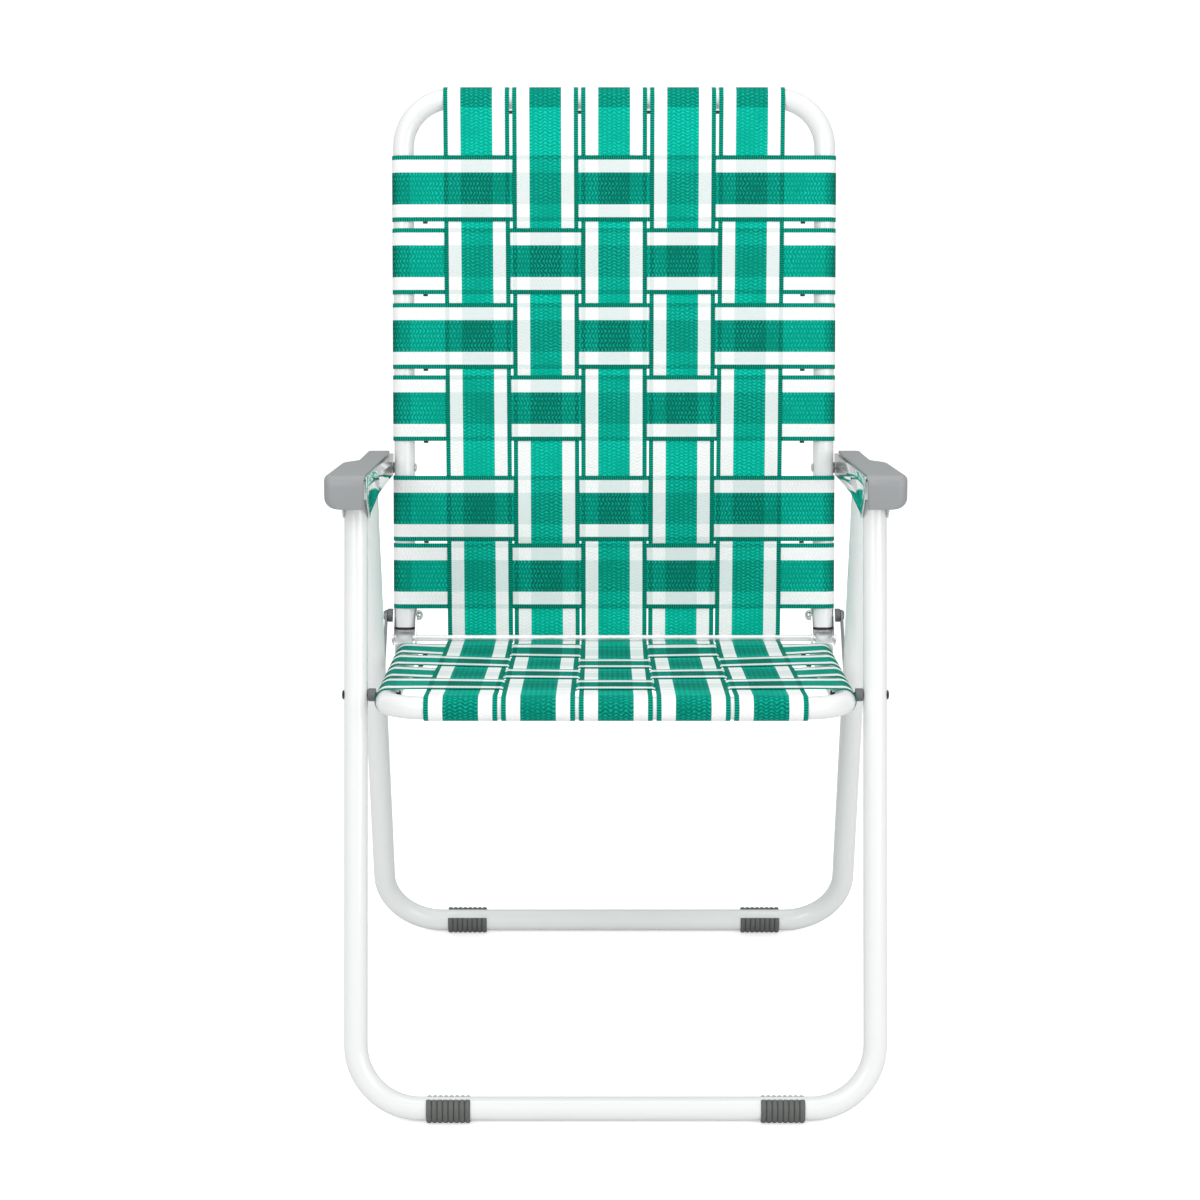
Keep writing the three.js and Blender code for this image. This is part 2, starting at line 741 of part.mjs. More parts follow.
// Half of a lengthwise tape, from its wrap on the end bar to its turn under the rod
function longTape(way, reach, drop, radius, rows, width, column, over, meet) {
  const height = webHeight(drop, radius);
  const turn = rodRadius + fit + tape / 2;
  const stations = [];
  stations.push(...arc(reach, -drop, radius + fit + tape / 2, Math.PI / 2 - wrapTurn, Math.PI / 2, wrapSteps));
  rows.forEach((place, row) => {
    const level = over(row, column) ? height - weave : height + weave;
    stations.push(flat(place + width / 2, level));
    stations.push(flat(place - width / 2, level));
  });
  stations.push(flat((turn + height * Math.cos(rodLead)) / Math.sin(rodLead), height));
  const under = arc(0, 0, turn, -Math.PI / 2 + rodLead, -Math.PI / 2 - meet, rodSteps);
  under.forEach(({ place, up }) => stations.push({ place, up: up.clone().negate() }));
  const shape = tapeOutline(stations);
  const geometry = new THREE.ExtrudeGeometry(shape, { depth: tapeWidth, bevelEnabled: false });
  geometry.applyMatrix4(across).scale(1, way, 1).translate(-tapeWidth / 2, 0, 0);
  const share = column - (tapeCount - 1) / 2;
  const end = way > 0 ? pitchTop : pitchFront;
  const lean = way * share * (end - pitchRod) / reach;
  geometry.applyMatrix4(new THREE.Matrix4().makeShear(0, 0, lean, 0, 0, 0)).translate(share * pitchRod, 0, 0);
  return solid(geometry);
}

const backOver = (row, column) => (row + column) % 2 === 0;
const seatOver = (row, column) => (row + column) % 2 === 1;

backRows.forEach((place, row) => {
  const shape = crossTape(backHalf, backDrop, backRadius, place, backTape, row, backOver);
  add(back, `back_row_${row + 1}`, shape, 'webbing');
});

seatRows.forEach((place, row) => {
  const holeRadius = (seatSpacer + fit) / Math.cos(Math.PI / tubeSides);
  const shape = drilled(
    crossTape(seatHalf, seatDrop, seatRadius, -place, seatTape, row, seatOver),
    holeRadius,
    -seatPivotAlong,
    -seatPivotDrop,
  );
  add(root, `seat_row_${row + 1}`, shape, 'webbing');
});

const between = backAngle - seatAngle;
const meet = (between - fit / rodRadius) / 2;
for (let column = 0; column < tapeCount; column++) {
  const upper = longTape(1, backReach, backDrop, backRadius, backRows, backTape, column, backOver, meet);
  add(back, `back_strap_${column + 1}`, upper, 'webbing');
  const rows = seatRows.slice().reverse();
  const seatUnder = (row, at) => seatOver(seatRows.length - 1 - row, at);
  const lower = longTape(-1, seatReach, seatDrop, seatRadius, rows, seatTape, column, seatUnder, meet);
  add(root, `seat_strap_${column + 1}`, lower, 'webbing');
}

chair.updateMatrixWorld(true);
const box = new THREE.Box3().setFromObject(chair, true);
chair.position.set(0, -(box.min.y + box.max.y) / 2, -box.min.z);

export default chair;
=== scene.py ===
import json
import math

import bmesh
import bpy
from mathutils import Matrix, Vector


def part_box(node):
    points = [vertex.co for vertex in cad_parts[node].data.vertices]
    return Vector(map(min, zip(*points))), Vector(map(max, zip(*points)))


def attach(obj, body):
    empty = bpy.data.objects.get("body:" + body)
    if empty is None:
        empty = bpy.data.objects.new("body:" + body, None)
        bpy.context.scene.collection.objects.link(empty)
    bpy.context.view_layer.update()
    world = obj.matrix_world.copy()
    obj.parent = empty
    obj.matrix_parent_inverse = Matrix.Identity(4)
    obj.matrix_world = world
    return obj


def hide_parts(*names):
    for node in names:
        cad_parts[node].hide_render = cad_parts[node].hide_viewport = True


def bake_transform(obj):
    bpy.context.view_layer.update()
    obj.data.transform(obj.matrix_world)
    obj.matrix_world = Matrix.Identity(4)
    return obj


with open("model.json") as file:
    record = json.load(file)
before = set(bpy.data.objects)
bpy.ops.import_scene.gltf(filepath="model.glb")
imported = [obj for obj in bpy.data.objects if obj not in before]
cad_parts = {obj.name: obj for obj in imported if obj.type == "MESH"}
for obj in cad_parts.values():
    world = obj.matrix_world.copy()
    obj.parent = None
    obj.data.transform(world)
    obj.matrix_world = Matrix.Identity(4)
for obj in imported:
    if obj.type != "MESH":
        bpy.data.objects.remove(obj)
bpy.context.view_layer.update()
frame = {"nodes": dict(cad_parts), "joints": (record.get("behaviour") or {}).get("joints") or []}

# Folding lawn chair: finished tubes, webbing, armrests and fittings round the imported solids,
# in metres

MM = 0.001
SIDES = (("left", -1), ("right", 1))

# Sizes of the solids that the finished pieces follow
FIT = 0.3 * MM
SHEET = 1.2 * MM
TUBE_WALL = 1.2 * MM
LEG_RADIUS = 11.5 * MM
LEG_BEND = 62 * MM
LEG_END = 5 * MM
FRONT_LEAN = math.radians(18.2)
FRONT_SEAT_PIVOT = 398.8 * MM
ARM_RISE = 183 * MM
STANCE = 451 * MM
BAR_HEIGHT = 13.5 * MM
ROD_RADIUS = 3.5 * MM
SEAT_RADIUS = 11 * MM
SEAT_HALF = 220 * MM
SEAT_DROP = 14.5 * MM
SEAT_REACH = 385 * MM
SEAT_BEND = 42 * MM
SEAT_END = 8 * MM
SEAT_PIVOT_RISE = 5 * MM
PIVOT_REACH = 334.8 * MM
PIVOT_SLOPE = math.radians(9)
BACK_RADIUS = 11 * MM
BACK_HALF = 224.6 * MM
BACK_DROP = 13.5 * MM
BACK_REACH = 575 * MM
BACK_BEND = 52 * MM
BACK_END = 11.2 * MM
TAPE_WIDTH = 70 * MM
TAPE = 1 * MM
WEAVE = 0.65 * MM
WRAP_TURN = math.radians(195)
TAPES = 5
PITCH_TOP = 73.3 * MM
PITCH_ROD = 71.6 * MM
PITCH_FRONT = 73.6 * MM
BACK_ROWS = [place * MM for place in (479.4, 402.4, 323, 246.2, 139, 66.6)]
SEAT_ROWS = [place * MM for place in (60, 144, 228, 308)]
ROD_LEAD = math.radians(12)
LEG_HALF = BACK_HALF + BACK_RADIUS + TAPE + 2 * FIT + SHEET + 2 * FIT + LEG_RADIUS

joints = {joint["name"]: Vector(joint["pos_m"]) for joint in frame["joints"]}
rod = joints["fold"]
seat_pivot = joints["front_leg_pivot"]
arm_back = joints["arm_pivot"]
rear_pivot = joints["rear_leg_pivot"]
link_foot = joints["link_pivot"]


def middle_of(node):
    low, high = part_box(node)
    return (low + high) / 2


arm_front = middle_of("left_arm_front_rivet")
front_bar = Vector((0, seat_pivot.y - FRONT_SEAT_PIVOT * math.sin(FRONT_LEAN), BAR_HEIGHT))
rear_bar = Vector((0, front_bar.y + STANCE, BAR_HEIGHT))
rear_length = math.hypot(rear_pivot.y - rear_bar.y, rear_pivot.z - rear_bar.z)
rear_angle = math.atan2(rear_pivot.z - rear_bar.z, rear_pivot.y - rear_bar.y)
back_angle = math.pi / 2 - FRONT_LEAN + math.asin(BACK_DROP / ARM_RISE)
seat_pivot_drop = SEAT_DROP - SEAT_PIVOT_RISE
seat_angle = -PIVOT_SLOPE - math.asin(seat_pivot_drop / PIVOT_REACH)


def side_frame(origin, angle):
    """Local axes of a body: X across, Y along its tube, Z to the sitting side."""
    return Matrix.Translation((0, origin.y, origin.z)) @ Matrix.Rotation(angle, 4, "X")


BACK = side_frame(rod, back_angle)
SEAT = side_frame(rod, seat_angle)
FRONT_LEGS = side_frame(front_bar, math.pi / 2 - FRONT_LEAN)
REAR_LEGS = side_frame(rear_bar, rear_angle)


# Materials
def put(tree, value, socket):
    """Sets a socket to a plain value, or links it to another node's output"""
    if isinstance(value, bpy.types.NodeSocket):
        tree.links.new(value, socket)
    else:
        socket.default_value = value


def with_inputs(tree, kind, **values):
    """New node with its inputs, named as in Blender with _ for a space"""
    node = tree.nodes.new(kind)
    for name, value in values.items():
        put(tree, value, node.inputs[name.replace("_", " ")])
    return node


def material(name, **values):
    """New material with its tree and shader; the values go on the shader's own sockets"""
    made = bpy.data.materials.new(name)
    made.use_nodes = True
    shader = made.node_tree.nodes["Principled BSDF"]
    for socket, value in values.items():
        shader.inputs[socket.replace("_", " ")].default_value = value
    return made, made.node_tree, shader


def noise_at(tree, scale, detail=2, roughness=0.5):
    coords = tree.nodes.new("ShaderNodeTexCoord").outputs["Object"]
    noise = with_inputs(tree, "ShaderNodeTexNoise", Vector=coords, Scale=scale, Detail=detail,
                        Roughness=roughness)
    return noise.outputs["Fac"]


def bump(tree, shader, height, strength, distance):
    node = with_inputs(tree, "ShaderNodeBump", Strength=strength, Distance=distance, Height=height)
    tree.links.new(node.outputs["Normal"], shader.inputs["Normal"])


def math_node(tree, operation, *values):
    node = tree.nodes.new("ShaderNodeMath")
    node.operation = operation
    for socket, value in zip(node.inputs, values):
        put(tree, value, socket)
    return node.outputs[0]


def ramp(tree, factor, low, high, low_to=0.0, high_to=1.0):
    """Clamped straight rise from low_to to high_to, as the factor goes from low to high"""
    node = with_inputs(tree, "ShaderNodeMapRange", Value=factor, From_Min=low, From_Max=high,
                       To_Min=low_to, To_Max=high_to)
    return node.outputs["Result"]


def mix(tree, factor, low, high):
    node = tree.nodes.new("ShaderNodeMix")
    node.data_type = "RGBA"
    for name, value in (("Factor", factor), ("A", low), ("B", high)):
        put(tree, value, node.inputs[name])
    return node.outputs["Result"]


def simple(name, colour, roughness, metallic=0.0, coat=0.0, spread=0.06, scale=60):
    """Plain finish with a slight uneven roughness"""
    made, tree, shader = material(name, Base_Color=(*colour, 1), Metallic=metallic,
                                  Coat_Weight=coat, Coat_Roughness=0.08)
    uneven = ramp(tree, noise_at(tree, scale), 0.3, 0.7, roughness - spread, roughness + spread)
    tree.links.new(uneven, shader.inputs["Roughness"])
    return made


def moulding(name, colour, roughness, grain, depth):
    """Moulded plastic with a fine grain"""
    made, tree, shader = material(name, Base_Color=(*colour, 1), Roughness=roughness)
    bump(tree, shader, noise_at(tree, grain, detail=3), depth, 0.4 * MM)
    return made


PAINT = simple("white enamel", (0.855, 0.865, 0.865), 0.26, coat=0.5, spread=0.01, scale=40)
CHROME = simple("plated steel", (0.93, 0.94, 0.945), 0.3, metallic=0.85, spread=0.04, scale=90)
CHANNEL = simple("polished channel steel", (0.84, 0.86, 0.86), 0.1, metallic=1, spread=0.02,
                 scale=160)
DARK_HEAD = simple("dark rivet", (0.035, 0.037, 0.04), 0.35, metallic=0.5)
BRIGHT = simple("bright steel", (0.72, 0.73, 0.74), 0.2, metallic=1, spread=0.05, scale=160)
LINK_STEEL = simple("grey steel", (0.2, 0.21, 0.22), 0.4, metallic=0.6, spread=0.06, scale=120)
SPACER = simple("dark spacer moulding", (0.13, 0.135, 0.14), 0.46)
CLIP = simple("blackened clip", (0.015, 0.017, 0.02), 0.4)
MOULDING = moulding("grey armrest moulding", (0.3, 0.31, 0.32), 0.45, 900, 0.12)
FOOT = moulding("dark ribbed moulding", (0.11, 0.114, 0.11), 0.5, 700, 0.1)

# Stripe edges as shares of the tape's width
EDGE_BAND = 0.066
WHITE_BAND = 0.259
# The weave: ribs over the width, length of a stitch, and how far a stitch slants in stitches
WEAVE_RIBS = 7
STITCH = 3.6 * MM
STITCH_SLANT = 1.8
# Sizes of the uneven places in it, as noise scales
DRIFT_SCALE = 70
PATCH_SCALE = 30
GRAIN_SCALE = 900

# Colours of the green between and on its stitches, and the colour of its painted shade
GREEN_VALLEY = (0.0003, 0.36, 0.255, 1)
GREEN_POINT = (0.006, 0.68, 0.52, 1)
GREEN_SHADE = (0.0004, 0.06, 0.034, 1)
# Painted shade: how far the green turns to its shade colour over a white stripe below, over a
# green stripe below, and by the shade level, which is set on the tubes and over whole rows
OVER_WHITE = 0.2
OVER_GREEN = 0.2
PAINTED_SHADE_DEPTH = 0.42
EDGE_DARK = (0.0004, 0.12, 0.08, 1)
EDGE_LIGHT = (0.001, 0.4, 0.28, 1)
WHITE_VALLEY = (0.86, 0.87, 0.87, 1)
WHITE_POINT = (0.95, 0.955, 0.955, 1)
# White with painted shade, where a green stripe lies under it
WHITE_OVER_GREEN = (0.72, 0.8, 0.79, 1)


def stripe(tree, share, inner, outer):
    """1 where the share lies between two distances from the tape's middle"""
    off = math_node(tree, "ABSOLUTE", math_node(tree, "SUBTRACT", share, 0.5))
    far = math_node(tree, "LESS_THAN", off, outer)
    near = math_node(tree, "GREATER_THAN", off, inner)
    return math_node(tree, "MULTIPLY", near, far)


def uv_axes(tree, layer):
    node = tree.nodes.new("ShaderNodeUVMap")
    node.uv_map = layer
    split = tree.nodes.new("ShaderNodeSeparateXYZ")
    tree.links.new(node.outputs["UV"], split.inputs["Vector"])
    return split.outputs["X"], split.outputs["Y"]


def webbing_material():
    """Striped tape, read from its two maps

    "tape" holds the share across and the metres along. "under" holds the share across the tape
    below, or -1, and the level of painted shade there: deeper towards the sides of a tube, and at
    least a set shade over each web.
    """
    made, tree, shader = material("striped woven webbing", Roughness=0.7, Specular_IOR_Level=0.04)
    across, along = uv_axes(tree, "tape")
    under, painted_shade_level = uv_axes(tree, "under")

    def times(*values):
        return math_node(tree, "MULTIPLY", *values)

    def plus(*values):
        return math_node(tree, "ADD", *values)

    # Herringbone of slanted stitches: the slant turns round at each rib
    rib = times(across, WEAVE_RIBS)
    zigzag = math_node(tree, "PINGPONG", rib, 0.5)
    row = math_node(tree, "DIVIDE", along, STITCH)
    slant = plus(row, times(zigzag, STITCH_SLANT))
    drift = noise_at(tree, DRIFT_SCALE, detail=3, roughness=0.6)
    slant = plus(slant, ramp(tree, drift, 0.25, 0.75, -0.5, 0.5))
    stitch = math_node(tree, "SINE", times(slant, 2 * math.pi))
    bead = math_node(tree, "COSINE", times(rib, 4 * math.pi))
    patch = noise_at(tree, PATCH_SCALE)
    pile = times(ramp(tree, stitch, -0.6, 1), ramp(tree, bead, -1, 1, 0.3, 1))
    pile = times(pile, ramp(tree, patch, 0.35, 0.65, 0.55, 1.4))
    grain = noise_at(tree, GRAIN_SCALE, detail=3, roughness=0.7)
    speckle = plus(pile, ramp(tree, grain, 0.3, 0.7, -0.25, 0.25))

    # Which stripe this is, and which one lies below
    middle = stripe(tree, across, -1, 0.5 - WHITE_BAND)
    edge = stripe(tree, across, 0.5 - EDGE_BAND, 1)
    hidden = math_node(tree, "GREATER_THAN", under, -0.5)
    under_middle = stripe(tree, under, -1, 0.5 - WHITE_BAND)
    under_edge = stripe(tree, under, 0.5 - EDGE_BAND, 1)
    under_green = times(math_node(tree, "MAXIMUM", under_middle, under_edge), hidden)

    # Painted shade: the green darkens over the tape below and by the shade level, more between its
    # stitches
    level = plus(times(hidden, OVER_WHITE), times(under_green, OVER_GREEN))
    level = plus(level, times(painted_shade_level, PAINTED_SHADE_DEPTH))
    level = plus(level, ramp(tree, patch, 0.3, 0.7, -0.04, 0.04))
    level = times(level, ramp(tree, speckle, 0, 0.8, 1.2, 0.75))
    alone = mix(tree, ramp(tree, speckle, 0, 1), GREEN_VALLEY, GREEN_POINT)
    green = mix(tree, level, alone, GREEN_SHADE)

    # Corded edges, with painted shade over the tape below and towards the sides of the tube wraps
    cording = math_node(tree, "SINE", times(row, 3 * math.pi))
    cord = mix(tree, ramp(tree, cording, -0.7, 0.7), EDGE_DARK, EDGE_LIGHT)
    cord = mix(tree, times(hidden, 0.3), cord, GREEN_SHADE)
    cord = mix(tree, ramp(tree, painted_shade_level, 1.6, 3, 0, 0.9), cord, GREEN_SHADE)

    clear = mix(tree, ramp(tree, speckle, -0.2, 0.4), WHITE_VALLEY, WHITE_POINT)
    # Painted shade on the white where a green stripe lies under it
    pale = mix(tree, times(under_green, 0.9), clear, WHITE_OVER_GREEN)
    colour = mix(tree, edge, mix(tree, middle, pale, green), cord)
    tree.links.new(colour, shader.inputs["Base Color"])
    bump(tree, shader, pile, 0.5, 0.5 * MM)
    return made


WEBBING = webbing_material()


# Mesh helpers
TUBE_SIDES = 40
TURNED_SIDES = 36
BEND_STEPS = 20
CLOSE = 0.005 * MM
# Angles in degrees from which an edge stays sharp
SHARP_TURNED = 32
SHARP_TUBE = 40
SHARP_EDGE = 50
SHARP_SHEET = 60


def placed(name, data):
    """New object in the scene"""
    made = bpy.data.objects.new(name, data)
    bpy.context.scene.collection.objects.link(made)
    return made


def sorted_by(part, key):
    """Puts a bmesh's elements in an order that is the same in each run"""
    ranks = {item: rank for rank, item in enumerate(sorted(part, key=key))}
    part.sort(key=lambda item: ranks[item])
    part.index_update()


def mesh_object(name, work, shader, sharp_from):
    """Object of a finished bmesh, its faces outwards and smooth up to an angle in degrees"""
    sorted_by(work.verts, lambda vert: tuple(vert.co))
    for part in (work.edges, work.faces):
        sorted_by(part, lambda item: sorted(vert.index for vert in item.verts))
    bmesh.ops.recalc_face_normals(work, faces=work.faces)
    if work.calc_volume(signed=True) < 0:
        bmesh.ops.reverse_faces(work, faces=work.faces)
    work.normal_update()
    for face in work.faces:
        face.smooth = True
    for edge in work.edges:
        if len(edge.link_faces) == 2 and edge.calc_face_angle() > math.radians(sharp_from):
            edge.smooth = False
    mesh = bpy.data.meshes.new(name)
    work.to_mesh(mesh)
    work.free()
    mesh.materials.append(shader)
    return placed(name, mesh)


def of_kind(geom, kind):
    return [item for item in geom if isinstance(item, kind)]


def once(items):
    """Each item once, in an order that is the same in each run"""
    return list(dict.fromkeys(items))


def whole(faces):
    """Faces with their edges and corners, so that an extrusion leaves none of them inside"""
    edges = once(edge for face in faces for edge in face.edges)
    verts = once(vert for face in faces for vert in face.verts)
    return faces + edges + verts


def pulled(work, cap, along):
    """The end faces of a tube further along, with its walls between"""
    made = bmesh.ops.extrude_face_region(work, geom=whole(cap))["geom"]
    bmesh.ops.translate(work, vec=along, verts=of_kind(made, bmesh.types.BMVert))
    return of_kind(made, bmesh.types.BMFace)


def turned(work, cap, centre, angle):
    """The end faces of a tube after a bend about its frame's own Z"""
    made = bmesh.ops.spin(work, geom=whole(cap), cent=centre, axis=(0, 0, 1), angle=angle,
                          steps=BEND_STEPS, use_merge=False)["geom_last"]
    return of_kind(made, bmesh.types.BMFace)


def u_tube(half, top, foot, bend, radius, height):
    """Bent U of round tube, from an open end at top round its bar at foot and back"""
    work = bmesh.new()
    end = Vector((-half, top, height))
    facing = Matrix.Translation(end) @ Matrix.Rotation(math.pi / 2, 4, "X")
    bmesh.ops.create_circle(work, segments=TUBE_SIDES, radius=radius, matrix=facing)
    rim = bmesh.ops.extrude_edge_only(work, edges=work.edges)["geom"]
    bore = 1 - TUBE_WALL / radius
    bmesh.ops.scale(work, vec=(bore, bore, bore), space=Matrix.Translation(-end),
                    verts=of_kind(rim, bmesh.types.BMVert))
    way = 1 if foot > top else -1
    bend_at = foot - way * bend
    quarter_turn = -way * math.pi / 2
    cap = pulled(work, of_kind(rim, bmesh.types.BMFace), (0, bend_at - top, 0))
    cap = turned(work, cap, (bend - half, bend_at, height), quarter_turn)
    cap = pulled(work, cap, (2 * (half - bend), 0, 0))
    cap = turned(work, cap, (half - bend, bend_at, height), quarter_turn)
    pulled(work, cap, (0, top - bend_at, 0))
    return work


def lathe(name, profile, origin, shader, sides=TURNED_SIDES, place=None):
    """Turned piece on an axis across the chair, from (place, radius) pairs"""
    work = bmesh.new()
    verts = [work.verts.new(origin + Vector((at, radius, 0))) for at, radius in profile]
    edges = [work.edges.new(pair) for pair in zip(verts, verts[1:])]
    bmesh.ops.spin(work, geom=verts + edges, cent=origin, axis=(1, 0, 0), angle=2 * math.pi,
                   steps=sides, use_merge=True)
    bmesh.ops.remove_doubles(work, verts=work.verts, dist=CLOSE)
    if place is not None:
        work.transform(place)
    return mesh_object(name, work, shader, SHARP_TURNED)


# A domed head: its upright rim as a share of the height, and the draft of that rim
DOME_RIM = 0.22
DOME_DRAFT = 0.97
DOME_STEPS = 7


def dome(face, way, radius, height):
    """Profile of a domed head from its rim to its crown"""
    upright = height * DOME_RIM
    points = [(face, radius * DOME_DRAFT), (face + way * upright, radius)]
    for i in range(1, DOME_STEPS):
        turn = math.pi / 2 * i / DOME_STEPS
        rise = upright + (height - upright) * math.sin(turn)
        points.append((face + way * rise, radius * math.cos(turn)))
    return points + [(face + way * height, 0)]


# Tubes of the four frames
def frame_tube(name, work, place, body, node):
    work.transform(place)
    made = mesh_object(name, work, PAINT, SHARP_TUBE)
    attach(made, body)
    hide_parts(node)
    return made


front_length = FRONT_SEAT_PIVOT + ARM_RISE + LEG_END
frame_tube("front-leg-tube", u_tube(LEG_HALF, front_length, 0, LEG_BEND, LEG_RADIUS, 0),
           FRONT_LEGS, "front_legs", "front_leg_frame")
seat_tube = frame_tube(
    "seat-tube", u_tube(SEAT_HALF, -SEAT_END, -SEAT_REACH, SEAT_BEND, SEAT_RADIUS, -SEAT_DROP),
    SEAT, "seat", "seat_frame")
back_tube = frame_tube(
    "back-tube", u_tube(BACK_HALF, BACK_END, BACK_REACH, BACK_BEND, BACK_RADIUS, -BACK_DROP),
    BACK, "back", "back_frame")

# Rear legs with the two lugs that the links turn on
LUG_EYE = 7 * MM
LUG_SHEET = 3 * MM
LUG_SOFTEN = 0.25 * MM
LUG_STEPS = 14
LINK_BEHIND = 18 * MM
LINK_UP = 268.16 * MM
BRACKET_SHEET = 1.5 * MM
BRACKET_OUT = BACK_HALF + BACK_RADIUS + FIT + BRACKET_SHEET
SPACER_START = BRACKET_OUT + FIT
SPACER_LONG = 5.8 * MM
LINK_START = SPACER_START + SPACER_LONG + FIT
LINK_SHEET = 2.5 * MM
LUG_START = LINK_START + LINK_SHEET + FIT


def lug_outline(height):
    """Long round plate from the leg's axis to its eye behind"""
    points = []
    for z, start in ((0, 0), (-LINK_BEHIND, math.pi)):
        for i in range(LUG_STEPS + 1):
            turn = start + math.pi * i / LUG_STEPS
            points.append((height + LUG_EYE * math.cos(turn), z + LUG_EYE * math.sin(turn)))
    return points


rear_work = u_tube(LEG_HALF, rear_length + LEG_END, 0, LEG_BEND, LEG_RADIUS, 0)
for name, side in SIDES:
    corners = [rear_work.verts.new((side * LUG_START, y, z))
               for y, z in lug_outline(rear_length - LINK_UP)]
    cap = rear_work.faces.new(corners)
    lug = bmesh.ops.extrude_face_region(rear_work, geom=[cap])["geom"]
    bmesh.ops.translate(rear_work, vec=(side * LUG_SHEET, 0, 0),
                        verts=of_kind(lug, bmesh.types.BMVert))
    rear_work.normal_update()
    rims = once(edge for end in [cap] + of_kind(lug, bmesh.types.BMFace) for edge in end.edges)
    bmesh.ops.bevel(rear_work, geom=rims, offset=LUG_SOFTEN, segments=2, affect="EDGES",
                    profile=0.5, material=-1)
frame_tube("rear-leg-tube", rear_work, REAR_LEGS, "rear_legs", "rear_leg_frame")


# Webbing: stations as in the solids, with finer arcs, softened weave and the tape's own maps
def pitch_at(y):
    """Pitch of the lengthwise tapes by distance from the rod, below 0 on the seat"""
    if y > 0:
        return PITCH_ROD + (PITCH_TOP - PITCH_ROD) * y / BACK_REACH
    return PITCH_ROD + (PITCH_FRONT - PITCH_ROD) * -y / SEAT_REACH


def back_over(row, column):
    return (row + column) % 2 == 0


def seat_over(row, column):
    return (row + column) % 2 == 1


def smooth(share):
    share = min(max(share, 0.0), 1.0)
    return share * share * (3 - 2 * share)


TAPE_COLUMNS = 12
TAPE_THIN = 0.9 * MM
# The outermost share of the width at each side, and how much of the thickness is left at the edge
TAPE_EDGE = 0.008
EDGE_THIN = 0.3


class Station:
    """Place on a tape's centreline, its upper face's direction, and what lies under it

    under holds the shares across the tape below, here and at the next station; tube holds the
    level of painted shade there.
    """

    def __init__(self, place, up, under=None, tube=0.0):
        self.place = Vector(place)
        self.up = Vector(up).normalized()
        self.under = under
        self.tube = tube
        self.lateral = 0.0
        self.sag = 0.0
        self.down = Vector((0, 0, -1))

    def moved(self, matrix):
        turn = matrix.to_3x3()
        self.place = matrix @ self.place
        self.up = turn @ self.up
        self.down = turn @ self.down
        return self


def bowed(x, half):
    """Share of the sag across the web: whole in the middle, none at the side tubes"""
    return max(0.0, 1 - (x / half) ** 2)


def ribbon(name, stations, side_way, half, sag_at=None):
    """Closed tape through the stations with its two maps, and the length that it is cut to"""
    work = bmesh.new()
    tape_map = work.loops.layers.uv.new("tape")
    under_map = work.loops.layers.uv.new("under")
    along = [0.0]
    for before, after in zip(stations, stations[1:]):
        along.append(along[-1] + (after.place - before.place).length)
    shares = [i / TAPE_COLUMNS for i in range(1, TAPE_COLUMNS)]
    shares = [0, TAPE_EDGE] + shares + [1 - TAPE_EDGE, 1]
    last = len(shares) - 1
    layers = []
    for way in (1, -1):
        rows = []
        for station in stations:
            row = []
            for column, share in enumerate(shares):
                lift = way * TAPE_THIN / 2 * (EDGE_THIN if column in (0, last) else 1)
                offset = (share - 0.5) * TAPE_WIDTH
                point = station.place + side_way * (offset + station.lateral)
                depth = station.sag if sag_at is None else sag_at(offset)
                fall = station.down * depth * bowed(point.x, half)
                row.append(work.verts.new(point + station.up * lift + fall))
            rows.append(row)
        layers.append(rows)

    def face(corners, segment):
        """Corners are (layer, station, column), and the maps are those of the segment"""
        made = work.faces.new([layers[side][index][column] for side, index, column in corners])
        below = stations[segment].under
        for loop, (_, index, column) in zip(made.loops, corners):
            loop[tape_map].uv = (shares[column], along[index])
            share = -1.0 if below is None else below[index - segment]
            loop[under_map].uv = (share, stations[segment].tube)

    for segment in range(len(stations) - 1):
        ahead = segment + 1
        for column in range(last):
            for side in (0, 1):
                face([(side, segment, column), (side, segment, column + 1),
                      (side, ahead, column + 1), (side, ahead, column)], segment)
        for column in (0, last):
            face([(0, segment, column), (0, ahead, column),
                  (1, ahead, column), (1, segment, column)], segment)
    for index, segment in ((0, 0), (len(stations) - 1, len(stations) - 2)):
        for column in range(last):
            face([(0, index, column), (0, index, column + 1),
                  (1, index, column + 1), (1, index, column)], segment)
    return mesh_object(name, work, WEBBING, SHARP_SHEET), along[-1]


# Height of a tape over or under the plane of the web, highest in the middle of a crossing
WEAVE_EDGE = 0.5 * MM
CROSS_STEPS = 8
GAP_STEPS = 4


def swell(share):
    return WEAVE_EDGE + (WEAVE - WEAVE_EDGE) * math.sin(math.pi * share)


def woven(crossings, place_at, up, height):
    """Stations along a tape through its crossings (from, to, over), in the order that it meets"""
    stations = []
    for index, (begin, end, over) in enumerate(crossings):
        way = 1 if over else -1
        for step in range(CROSS_STEPS + 1):
            share = step / CROSS_STEPS
            below = (share, share + 1 / CROSS_STEPS) if step < CROSS_STEPS else None
            at = begin + (end - begin) * share
            stations.append(Station(place_at(at, height + way * swell(share)), up, below))
        if index + 1 < len(crossings):
            onward, following = crossings[index + 1][0], crossings[index + 1][2]
            rise = (1 if following else -1) - way
            for step in range(1, GAP_STEPS):
                share = step / GAP_STEPS
                at = end + (onward - end) * share
                level = height + WEAVE_EDGE * (way + rise * smooth(share))
                stations.append(Station(place_at(at, level), up))
    return stations


# Steps round a tube, how much painted shade a tape gets on the sides of a tube, and the least
# painted shade of each web
WRAP_STEPS = 26
SIDE_SHADE = 1
END_SHADE = 0.3
BACK_ROW_SHADE = 0.55
SEAT_ROW_SHADE = 0.75
SEAT_LENGTH_SHADE = 0.4
ROD_STEPS = 14
LEAD_STEPS = 4
OPEN_STEPS = 6
